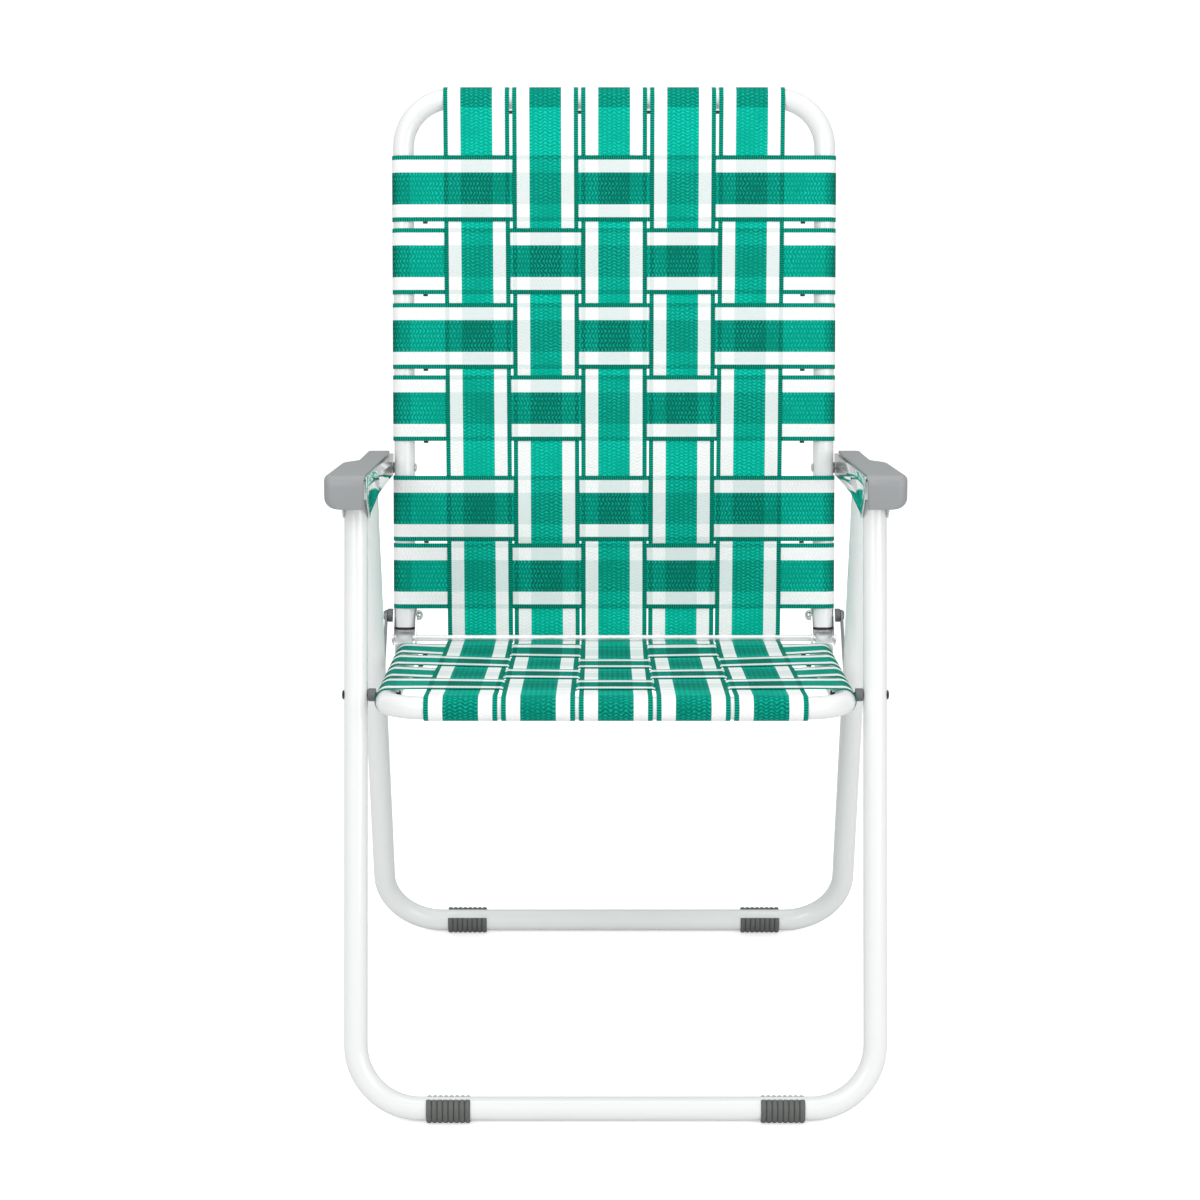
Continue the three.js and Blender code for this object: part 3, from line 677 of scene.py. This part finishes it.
# The seat's sag, its distance from the rod, and the power by which it fades to the front bar
SAG = 5.5 * MM
SAG_PEAK = 80 * MM
SAG_FADE = 1.3
UP = Vector((0, 0, 1))
ACROSS = Vector((1, 0, 0))
ALONG = Vector((0, 1, 0))


def wrap(centre, radius, begin, end, place_at, side):
    """Stations round a tube, from one angle to another in the tape's own plane, with painted shade
    that deepens towards the tube's sides
    """
    stations = []
    for step in range(WRAP_STEPS + 1):
        turn = begin + (end - begin) * step / WRAP_STEPS
        cosine = math.cos(turn)
        spot = place_at(centre[0] + radius * cosine, centre[1] + radius * math.sin(turn))
        stations.append(Station(spot, spot - place_at(*centre), None, 1 + side * cosine ** 2))
    return stations


def web_height(drop, radius):
    return -drop + radius + FIT + TAPE / 2


def stretch(begin, end, place_at, steps=OPEN_STEPS):
    """Stations between two (distance, height) spots, both left out"""
    stations = []
    for step in range(1, steps):
        share = step / steps
        at = begin[0] + (end[0] - begin[0]) * share
        height = begin[1] + (end[1] - begin[1]) * smooth(share)
        stations.append(Station(place_at(at, height), UP))
    return stations


# Painted shade: each station gets at least the given shade level
def shaded(stations, least):
    for station in stations:
        station.tube = max(station.tube, least)
    return stations


def off_middle(column):
    return column - (TAPES - 1) / 2


def cross_tape(name, frame_at, half, drop, radius, y, row, over, sag_at, shade):
    """A row from the wrap on one side tube to the wrap on the other"""
    def place_at(x, z):
        return Vector((x, y, z))

    height = web_height(drop, radius)
    ring = radius + FIT + TAPE / 2
    middles = [off_middle(column) * pitch_at(y) for column in range(TAPES)]
    crossings = [(middle - TAPE_WIDTH / 2, middle + TAPE_WIDTH / 2, over(row, column))
                 for column, middle in enumerate(middles)]
    flow = woven(crossings, place_at, UP, height)
    stations = wrap((-half, -drop), ring, math.pi / 2 + WRAP_TURN, math.pi / 2, place_at,
                    SIDE_SHADE)
    stations += stretch((-half, height), (crossings[0][0], flow[0].place.z), place_at)
    stations += flow
    stations += stretch((crossings[-1][1], flow[-1].place.z), (half, height), place_at)
    stations += wrap((half, -drop), ring, math.pi / 2, math.pi / 2 - WRAP_TURN, place_at,
                     SIDE_SHADE)
    made, cut = ribbon(name, shaded(stations, shade), ALONG, half,
                       lambda offset: sag_at(y + offset))
    made.data.transform(frame_at)
    return made, cut


def half_long(reach, drop, radius, rows, column, over, end_pitch, sag_at, shade):
    """A lengthwise tape from its wrap on the end bar to the rod; y is the distance from the rod"""
    def place_at(y, z):
        return Vector((0, y, z))

    height = web_height(drop, radius)
    crossings = [(place + TAPE_WIDTH / 2, place - TAPE_WIDTH / 2, not over(row, column))
                 for row, place in rows]
    flow = woven(crossings, place_at, UP, height)
    stations = wrap((reach, -drop), radius + FIT + TAPE / 2, math.pi / 2 - WRAP_TURN, math.pi / 2,
                    place_at, END_SHADE)
    stations += stretch((reach, height), (crossings[0][0], flow[0].place.z), place_at)
    stations += flow
    corner = (ROD_TURN + height * math.cos(ROD_LEAD)) / math.sin(ROD_LEAD)
    stations += stretch((crossings[-1][1], flow[-1].place.z), (corner, height), place_at,
                        LEAD_STEPS)
    leave = ROD_LEAD - math.pi / 2
    stations += stretch((corner, height), (ROD_TURN * math.cos(leave), ROD_TURN * math.sin(leave)),
                        place_at, LEAD_STEPS)
    for station in stations:
        y = station.place.y
        pitch = PITCH_ROD + (end_pitch - PITCH_ROD) * y / reach
        station.lateral = off_middle(column) * pitch
        station.sag = sag_at(y)
    return shaded(stations, shade)


def no_sag(_):
    return 0.0


def seat_sag(y):
    """How far the web hangs in the middle of the seat, by distance from the rod"""
    distance = abs(y)
    if distance < SAG_PEAK:
        return SAG * smooth(distance / SAG_PEAK)
    return SAG * max(0.0, 1 - ((distance - SAG_PEAK) / (SEAT_REACH - SAG_PEAK)) ** SAG_FADE)


ROD_TURN = ROD_RADIUS + FIT + TAPE / 2
for row, place in enumerate(BACK_ROWS):
    made, cut = cross_tape(f"back-webbing-row-{row + 1}", BACK, BACK_HALF, BACK_DROP, BACK_RADIUS,
                           place, row, back_over, no_sag, BACK_ROW_SHADE)
    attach(made, "back")
    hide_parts(f"back_row_{row + 1}")
for row, place in enumerate(SEAT_ROWS):
    made, cut = cross_tape(f"seat-webbing-row-{row + 1}", SEAT, SEAT_HALF, SEAT_DROP, SEAT_RADIUS,
                           -place, row, seat_over, seat_sag, SEAT_ROW_SHADE)
    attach(made, "seat")
    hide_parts(f"seat_row_{row + 1}")

MIRROR = Matrix.Diagonal((1, -1, 1, 1))
for column in range(TAPES):
    upper = half_long(BACK_REACH, BACK_DROP, BACK_RADIUS, list(enumerate(BACK_ROWS)), column,
                      back_over, PITCH_TOP, no_sag, 0)
    lower = half_long(SEAT_REACH, SEAT_DROP, SEAT_RADIUS, list(enumerate(SEAT_ROWS))[::-1], column,
                      seat_over, PITCH_FRONT, seat_sag, SEAT_LENGTH_SHADE)
    upper = [station.moved(BACK) for station in upper]
    lower = [station.moved(SEAT @ MIRROR) for station in lower]
    begin = back_angle - math.pi / 2 + ROD_LEAD
    end = seat_angle - math.pi / 2 - ROD_LEAD
    bight = []
    for step in range(ROD_STEPS + 1):
        angle = begin + (end - begin) * step / ROD_STEPS
        way = Vector((0, math.cos(angle), math.sin(angle)))
        station = Station(rod + way * ROD_TURN, -way)
        station.lateral = off_middle(column) * PITCH_ROD
        bight.append(station)
    made, cut = ribbon(f"lengthwise-webbing-{column + 1}", upper + bight + lower[::-1], ACROSS,
                       SEAT_HALF)
    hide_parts(f"seat_strap_{column + 1}", f"back_strap_{column + 1}")
    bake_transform(made)


# Solids kept in their own shape, with softened edges and a finish of their own
SOLID_EDGE = math.radians(40)
LEVEL = math.radians(1)
SOFTEN = 0.3 * MM
CHANNEL_SOFTEN = 0.25 * MM


def softened(name, shader, width, body):
    """The solid of the same name, its edges rounded where they are sharper than SOLID_EDGE"""
    node = name.replace("-", "_")
    work = bmesh.new()
    work.from_mesh(frame["nodes"][node].data)
    bmesh.ops.remove_doubles(work, verts=work.verts, dist=CLOSE)
    bmesh.ops.dissolve_limit(work, angle_limit=LEVEL, verts=work.verts, edges=work.edges)
    sharp = [edge for edge in work.edges
             if len(edge.link_faces) == 2 and edge.calc_face_angle() > SOLID_EDGE]
    bmesh.ops.bevel(work, geom=sharp, offset=width, segments=2, profile=0.5, affect="EDGES",
                    clamp_overlap=True, material=-1)
    made = mesh_object(name, work, shader, SHARP_EDGE)
    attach(made, body)
    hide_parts(node)


HEAD = 4.7 * MM
HEAD_HEIGHT = 1.8 * MM
SHANK = 2.5 * MM
CHAMFER = 0.5 * MM
EAR_INSIDE = BACK_HALF + BACK_RADIUS + TAPE + 2 * FIT
EAR_OUTSIDE = LEG_HALF + LEG_RADIUS + FIT


def fitting(name, profile, spot, body, shader):
    """Turned piece that stands for the solid of the same name"""
    made = lathe(name, profile, Vector((0, spot.y, spot.z)), shader)
    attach(made, body)
    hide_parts(name.replace("-", "_"))


def rivet(name, spot, begin, end, body, flush=False, shader=BRIGHT):
    """Shank with a domed head at each end, or only at its far end"""
    way = 1 if end > begin else -1
    near = [(begin, 0), (begin, SHANK)]
    if not flush:
        near = dome(begin - way * FIT, -way, HEAD, HEAD_HEIGHT)[::-1]
        near.append((begin - way * FIT, SHANK))
    far = [(end + way * FIT, SHANK)] + dome(end + way * FIT, way, HEAD, HEAD_HEIGHT)
    fitting(name, near + far, spot, body, shader)


def spacer(name, spot, low, high, radius, body, chamfer=CHAMFER):
    """Round sleeve on a rivet or bolt"""
    bore = SHANK + FIT
    inset = chamfer if high > low else -chamfer
    profile = [(low, bore), (low, radius - chamfer), (low + inset, radius),
               (high - inset, radius), (high, radius - chamfer), (high, bore), (low, bore)]
    fitting(name, profile, spot, body, SPACER)


BRACKET_PIVOT = 23.6 * MM
link_top = BACK @ Vector((0, BRACKET_PIVOT, -BACK_DROP))
arm_angle = math.atan2(arm_back.z - arm_front.z, arm_back.y - arm_front.y)
ARMS = side_frame(arm_front, arm_angle)

# Armrest: y runs along the channel from its front rivet, and z is the height over it
ARM_TOP_FRONT = 32.5 * MM
ARM_TOP_REAR = 17.6 * MM
ARM_SHELL = 2.6 * MM
ARM_NOSE = -46 * MM
ARM_TAIL = PIVOT_REACH + 12 * MM
ARM_OUTER = EAR_OUTSIDE + 15.7 * MM
ARM_OUTER_REAR = EAR_OUTSIDE + 1.8 * MM
ARM_INNER = EAR_INSIDE + 1.4 * MM
ARM_INNER_REAR = EAR_INSIDE + 4.5 * MM
ARM_SHOULDER = 150 * MM
WAIST_BEFORE = ARM_SHOULDER - 8 * MM
WAIST_START = ARM_SHOULDER - 6 * MM
WAIST_END = ARM_SHOULDER + 46 * MM
NOSE_HEIGHT = 33.5 * MM
NOSE_END = -34 * MM
NOSE_ROLL = 12 * MM
SIDE_ROLL = 9 * MM
TAIL_ROLL = 4 * MM
FOOT_ROLL = 1 * MM
CROWN = 5.5 * MM
TUCK = 11 * MM
CORNER_STEPS = 6
NOSE_STEPS = 12
SIDE_STEPS = 8
WAIST_STEPS = 12
REAR_STEPS = 6
TAIL_STEPS = 5
# Height of the side at the shoulder
SHOULDER_SKIRT = 2 * ARM_SHELL + 7 * MM
# Shares: of the shell's thickness inside it, of the width that stays level on top, of the outer
# side's roll that the inner side has, and of the height that the crown and the tuck may take
SHELL_INSET = 0.92
LEVEL_TOP = 0.4
INNER_ROLL = 0.4
CROWN_MOST = 0.45
TUCK_MOST = 0.4
NEAR_WALL = 0.2 * MM


def top_at(y):
    return ARM_TOP_FRONT - (ARM_TOP_FRONT - ARM_TOP_REAR) * y / PIVOT_REACH


ARM_FOOT = top_at(ARM_NOSE) - NOSE_HEIGHT
SHOULDER_FOOT = top_at(ARM_SHOULDER) - SHOULDER_SKIRT
TAIL_FOOT = top_at(ARM_TAIL) - ARM_SHELL


def rolled(distance, radius):
    """How far a rounded end stands back at a distance from its tip"""
    if distance >= radius:
        return 0.0
    return radius - math.sqrt(radius ** 2 - (radius - distance) ** 2)


def quarter(centre, radius, begin):
    """Points of a quarter circle, clockwise from an angle"""
    turns = [begin - math.pi / 2 * step / CORNER_STEPS for step in range(CORNER_STEPS + 1)]
    return [(centre[0] + radius * math.cos(turn), centre[1] + radius * math.sin(turn))
            for turn in turns]


def foot_at(y):
    """Height of the lower edge of the rest's outer side"""
    if y < NOSE_END:
        return ARM_FOOT + rolled(y - ARM_NOSE, FOOT_ROLL)
    if y < ARM_SHOULDER:
        share = (y - NOSE_END) / (ARM_SHOULDER - NOSE_END)
        return ARM_FOOT + (SHOULDER_FOOT - ARM_FOOT) * share
    share = (y - ARM_SHOULDER) / (ARM_TAIL - ARM_SHOULDER)
    return SHOULDER_FOOT + (TAIL_FOOT - SHOULDER_FOOT) * share


def rest_section(y):
    """Outline of the rest across the chair at one place, outside and inside its shell"""
    tip = y - ARM_NOSE
    top = top_at(y) - rolled(tip, NOSE_ROLL)
    foot = foot_at(y)
    inner = ARM_INNER + (ARM_INNER_REAR - ARM_INNER) * tip / (ARM_TAIL - ARM_NOSE)
    inner += INNER_ROLL * rolled(tip, SIDE_ROLL)
    waist = smooth((y - WAIST_START) / (WAIST_END - WAIST_START))
    outer = ARM_OUTER + (ARM_OUTER_REAR - ARM_OUTER) * waist
    outer -= rolled(tip, SIDE_ROLL) + rolled(ARM_TAIL - y, TAIL_ROLL)
    crown = min(CROWN, (top - foot) * CROWN_MOST)
    tuck = min(TUCK, (top - foot) * TUCK_MOST)

    def outline(inset):
        points = [(inner, top - inset), (inner + (outer - inner) * LEVEL_TOP, top - inset)]
        points += quarter((outer - crown, top - crown), crown - inset, math.pi / 2)
        return points + quarter((outer - tuck, foot + tuck), tuck - inset, 0)

    return outline(0), outline(ARM_SHELL * SHELL_INSET), foot


def even(begin, end, steps):
    """Places in even steps, without the first"""
    return [begin + (end - begin) * step / steps for step in range(1, steps + 1)]


def moulded_rest(name, side):
    """Shell over the channel with a solid nose, lofted from front to back"""
    work = bmesh.new()
    wall = ARM_NOSE + ARM_SHELL
    nose = [ARM_NOSE + NOSE_ROLL * (1 - math.cos(turn))
            for turn in [0] + even(0, math.pi / 2, NOSE_STEPS)]
    places = sorted([place for place in nose if abs(place - wall) > NEAR_WALL] + [wall])
    places += even(ARM_NOSE + NOSE_ROLL, WAIST_BEFORE, SIDE_STEPS)
    places += even(WAIST_BEFORE, WAIST_END, WAIST_STEPS)
    places += even(WAIST_END, ARM_TAIL - TAIL_ROLL, REAR_STEPS)
    places += [ARM_TAIL - TAIL_ROLL * (1 - math.sin(turn))
               for turn in even(0, math.pi / 2, TAIL_STEPS)]
    rings = []
    for y in places:
        outer, inner, foot = rest_section(y)
        solid = [(min(x, outer[-1][0]), foot) for x, _ in inner]
        if abs(y - wall) < CLOSE:
            insides = [solid, inner]
        else:
            insides = [solid if y < wall else inner]
        for inside in insides:
            rings.append([work.verts.new((side * x, y, z)) for x, z in outer + inside[::-1]])
    for low, high in zip(rings, rings[1:]):
        for i in range(len(low)):
            after = (i + 1) % len(low)
            work.faces.new((low[i], low[after], high[after], high[i]))
    work.faces.new(rings[0])
    work.faces.new(rings[-1])
    bmesh.ops.remove_doubles(work, verts=work.verts, dist=CLOSE)
    work.transform(ARMS)
    made = mesh_object(f"{name}-armrest", work, MOULDING, SHARP_EDGE)
    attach(made, "arms")
    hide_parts(f"{name}_armrest")


FOOT_RADIUS = LEG_RADIUS + FIT + 2.2 * MM
FOOT_LENGTH = 42.5 * MM
FOOT_CENTRE = 161 * MM
FOOT_RIBS = 8
RIB_DEPTH = 1.6 * MM
FOOT_MOUTH = math.radians(80)
FRONT_MOUTH = math.pi / 2 - FRONT_LEAN + math.radians(4)
REAR_MOUTH = rear_angle + math.radians(3)
FOOT_STEPS = 48
# Height of the skin inside one rib, at shares of the rib's pitch
RIB_SHAPE = ((0, 0), (0.05, 0.4), (0.14, 0.75), (0.3, 0.96), (0.5, 1), (0.7, 0.96), (0.86, 0.75),
             (0.95, 0.4))


def ribbed_foot(name, side, bar, mouth, end):
    """Sleeve with rounded ribs round a floor bar, open at its mouth and flat on the floor"""
    start = side * FOOT_CENTRE - FOOT_LENGTH / 2
    pitch = FOOT_LENGTH / FOOT_RIBS
    low = FOOT_RADIUS - RIB_DEPTH
    profile = [(start + (rib + share) * pitch, low + height * RIB_DEPTH)
               for rib in range(FOOT_RIBS) for share, height in RIB_SHAPE]
    bore = LEG_RADIUS + FIT
    profile += [(start + FOOT_LENGTH, low), (start + FOOT_LENGTH, bore), (start, bore)]
    first = mouth + FOOT_MOUTH / 2
    ray = Vector((0, math.cos(first), math.sin(first)))
    work = bmesh.new()
    corners = [work.verts.new(Vector((x, bar.y, bar.z)) + ray * radius) for x, radius in profile]
    outline = work.faces.new(corners)
    bmesh.ops.spin(work, geom=[outline], cent=(0, bar.y, bar.z), axis=(1, 0, 0),
                   angle=2 * math.pi - FOOT_MOUTH, steps=FOOT_STEPS, use_merge=False)
    for vert in work.verts:
        vert.co.z = max(0.0, vert.co.z)
    made = mesh_object(f"{end}-{name}-foot", work, FOOT, SHARP_EDGE)
    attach(made, f"{end}_legs")
    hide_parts(f"{end}_{name}_foot")


LINK_SPACER = 7.2 * MM
SEAT_SPACER = 6.3 * MM
ARM_BUSH = 6 * MM
BUSH_CHAMFER = 0.2 * MM
NUT = 5.6 * MM
NUT_HEIGHT = 6 * MM

for name, side in SIDES:
    softened(f"{name}-hinge-bracket", CHROME, SOFTEN, "back")
    softened(f"{name}-seat-lug", CHROME, SOFTEN, "seat")
    softened(f"{name}-arm-channel", CHANNEL, CHANNEL_SOFTEN, "arms")
    moulded_rest(name, side)
    softened(f"{name}-rear-link", LINK_STEEL, SOFTEN, "rear_links")
    ribbed_foot(name, side, front_bar, FRONT_MOUTH, "front")
    ribbed_foot(name, side, rear_bar, REAR_MOUTH, "rear")
    rivet(f"{name}-seat-rivet", seat_pivot, side * (SEAT_HALF - SEAT_RADIUS),
          side * (LEG_HALF + LEG_RADIUS), "seat", False, DARK_HEAD)
    rivet(f"{name}-arm-back-rivet", arm_back, side * (BACK_HALF - BACK_RADIUS),
          side * (EAR_INSIDE + SHEET), "back")
    rivet(f"{name}-link-rivet", link_foot, side * LINK_START, side * (LUG_START + LUG_SHEET),
          "rear_legs")
    for end, spot in (("front", arm_front), ("rear", rear_pivot)):
        rivet(f"{name}-arm-{end}-rivet", spot, side * EAR_INSIDE, side * (EAR_OUTSIDE + SHEET),
              "arms", True)
    spacer(f"{name}-seat-spacer", seat_pivot, side * (SEAT_HALF + SEAT_RADIUS + FIT),
           side * (LEG_HALF - LEG_RADIUS - FIT), SEAT_SPACER, "seat")
    spacer(f"{name}-arm-bush", arm_back, side * (BACK_HALF + BACK_RADIUS + FIT),
           side * (EAR_INSIDE - FIT), ARM_BUSH, "back", BUSH_CHAMFER)
    spacer(f"{name}-link-spacer", link_top, side * SPACER_START, side * (LINK_START - FIT),
           LINK_SPACER, "back")
    inside = side * (BACK_HALF - BACK_RADIUS - 2 * FIT - BRACKET_SHEET)
    tip = side * (LINK_START - FIT)
    nut = dome(inside, -side, NUT, NUT_HEIGHT)[::-1]
    fitting(f"{name}-bracket-bolt", nut + [(inside, SHANK), (tip, SHANK), (tip, 0)], link_top,
            "back", BRIGHT)

# Dark plugs in the feet of the back tube, a painted shadow for the dark gap where each foot meets
# its bracket: how deep each is, how far it shows, and its rounded rim
PLUG_DEPTH = 6 * MM
PLUG_SHOWS = 3 * MM
PLUG_EDGE = 2.4 * MM
PLUG_DRAFT = 0.3 * MM
PLUG_ROUND = 1.6 * MM
plug_radius = BACK_RADIUS - 0.1 * MM
plug_shank = BACK_RADIUS - TUBE_WALL - 0.05 * MM
profile = [(BACK_END + PLUG_DEPTH, 0), (BACK_END + PLUG_DEPTH, plug_shank), (BACK_END, plug_shank),
           (BACK_END, plug_radius), (BACK_END - PLUG_EDGE, plug_radius - PLUG_DRAFT),
           (BACK_END - PLUG_SHOWS, plug_radius - PLUG_ROUND), (BACK_END - PLUG_SHOWS, 0)]
for name, side in SIDES:
    upright = (BACK @ Matrix.Translation((side * BACK_HALF, 0, -BACK_DROP))
               @ Matrix.Rotation(math.pi / 2, 4, "Z"))
    plug = lathe(f"{name}-back-shadow-plug", profile, Vector(), CLIP, place=upright)
    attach(plug, "back")

# Clips that hold the tapes' folded ends behind the tubes; each shows past a tape's edge
CLIP_WIDE = 5 * MM
CLIP_LONG = 5.4 * MM
CLIP_THICK = 1.5 * MM
CLIP_SHOWS = 2.2 * MM
CLIP_PRESS = 0.2 * MM
CLIP_SOFTEN = 0.4 * MM
TOP_CLIP_LONG = 0.7 * CLIP_WIDE
TOP_CLIP_DOWN = BACK_RADIUS + 4 * MM
BACK_CLIP_OUT = 201 * MM
SEAT_CLIP_OUT = 197 * MM


def clips(name, spots, height, place, body):
    """Small rounded plates under the web at a height, from (x, y, wide, long)"""
    work = bmesh.new()
    for x, y, wide, long in spots:
        middle = Vector((x, y, height - CLIP_PRESS - TAPE_THIN / 2 - CLIP_THICK / 2))
        made = bmesh.ops.create_cube(work, size=1)["verts"]
        bmesh.ops.scale(work, vec=(wide, long, CLIP_THICK), verts=made)
        bmesh.ops.translate(work, vec=middle, verts=made)
        edges = once(edge for vert in made for edge in vert.link_edges)
        bmesh.ops.bevel(work, geom=edges, offset=CLIP_SOFTEN, segments=2, affect="EDGES",
                        profile=0.5, material=-1)
    work.transform(place)
    made = mesh_object(name, work, CLIP, SHARP_SHEET)
    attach(made, body)


below = TAPE_WIDTH / 2 + CLIP_SHOWS - CLIP_LONG / 2
spots = [(side * BACK_CLIP_OUT, place - below, CLIP_WIDE, CLIP_LONG)
         for place in BACK_ROWS[:5] for _, side in SIDES]
spots += [((off_middle(column) + 0.5) * PITCH_TOP, BACK_REACH - TOP_CLIP_DOWN, CLIP_LONG,
           TOP_CLIP_LONG) for column in range(TAPES - 1)]
clips("back-clips", spots, web_height(BACK_DROP, BACK_RADIUS), BACK, "back")
spots = [(side * SEAT_CLIP_OUT, -place - below, CLIP_WIDE, CLIP_LONG)
         for place in SEAT_ROWS[:3] for _, side in SIDES]
clips("seat-clips", spots, web_height(SEAT_DROP, SEAT_RADIUS), SEAT, "seat")

# Cross rod with peened heads
PEEN = 5 * MM
PEEN_RIM = 0.4 * MM
PEEN_TOP = 4.2 * MM
PEEN_HEIGHT = 0.7 * MM
shoulder = BRACKET_OUT + FIT
rod_half = [(shoulder, ROD_RADIUS), (shoulder, PEEN), (shoulder + PEEN_RIM, PEEN),
            (shoulder + PEEN_HEIGHT, PEEN_TOP), (shoulder + PEEN_HEIGHT, 0)]
rod_profile = [(-at, radius) for at, radius in reversed(rod_half)] + rod_half
cross_rod = lathe("cross-rod", rod_profile, rod, CHROME, TUBE_SIDES)
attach(cross_rod, "seat")
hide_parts("hinge_rod")


# Floor, light and camera, the camera as it was fitted to the photo
SENSOR = 36
LENS = 92.1
CAMERA_PLACE = (-0.015, -2.9737, 1.3805)
CAMERA_TILT = math.radians(72.3)
FLOOR_LIGHT = 0.56
WORLD_LIGHT = 0.58
FLOOR_CORNERS = ((-9, -5, 0), (9, -5, 0), (9, 16, 0), (-9, 16, 0))


def pale_floor():
    """White to the camera, so that only the shadow shows on it"""
    made, tree, shader = material("pale floor", Base_Color=(0.8, 0.8, 0.8, 1), Roughness=0.95,
                                  Specular_IOR_Level=0.05, Emission_Color=(1, 1, 1, 1))
    path = tree.nodes.new("ShaderNodeLightPath")
    seen = math_node(tree, "MULTIPLY", path.outputs["Is Camera Ray"], FLOOR_LIGHT)
    tree.links.new(seen, shader.inputs["Emission Strength"])
    work = bmesh.new()
    work.faces.new([work.verts.new(corner) for corner in FLOOR_CORNERS])
    return mesh_object("floor", work, made, SHARP_SHEET)


def area_light(name, place, target, size, power):
    data = bpy.data.lights.new(name, "AREA")
    data.shape = "RECTANGLE"
    data.size, data.size_y = size
    data.energy = power
    made = placed(name, data)
    made.location = place
    towards = Vector(target) - Vector(place)
    made.rotation_euler = towards.to_track_quat("-Z", "Y").to_euler()
    return made


def white_world():
    """White behind the object and in reflections, softer as a light"""
    world = bpy.data.worlds.new("white studio")
    bpy.context.scene.world = world
    world.use_nodes = True
    tree = world.node_tree
    path = tree.nodes.new("ShaderNodeLightPath")
    strength = ramp(tree, path.outputs["Is Camera Ray"], 0, 1, WORLD_LIGHT, 1)
    background = tree.nodes["Background"]
    background.inputs["Color"].default_value = (1, 1, 1, 1)
    tree.links.new(strength, background.inputs["Strength"])


white_world()
floor = pale_floor()
lights = [
    area_light("key", (-1.3, -2.4, 2.2), (0, 0, 0.45), (1.5, 1.5), 32),
    area_light("fill", (1.8, -2.0, 1.4), (0, 0, 0.45), (1.5, 1.5), 20),
    area_light("top", (0, 0.2, 3.0), (0, 0, 0.4), (2.4, 2.0), 25),
]
camera_data = bpy.data.cameras.new("camera")
camera_data.sensor_width = SENSOR
camera_data.lens = LENS
camera = placed("camera", camera_data)
camera.location = CAMERA_PLACE
camera.rotation_euler = (CAMERA_TILT, 0, 0)
bpy.context.scene.camera = camera
bpy.context.scene.view_settings.view_transform = "Standard"
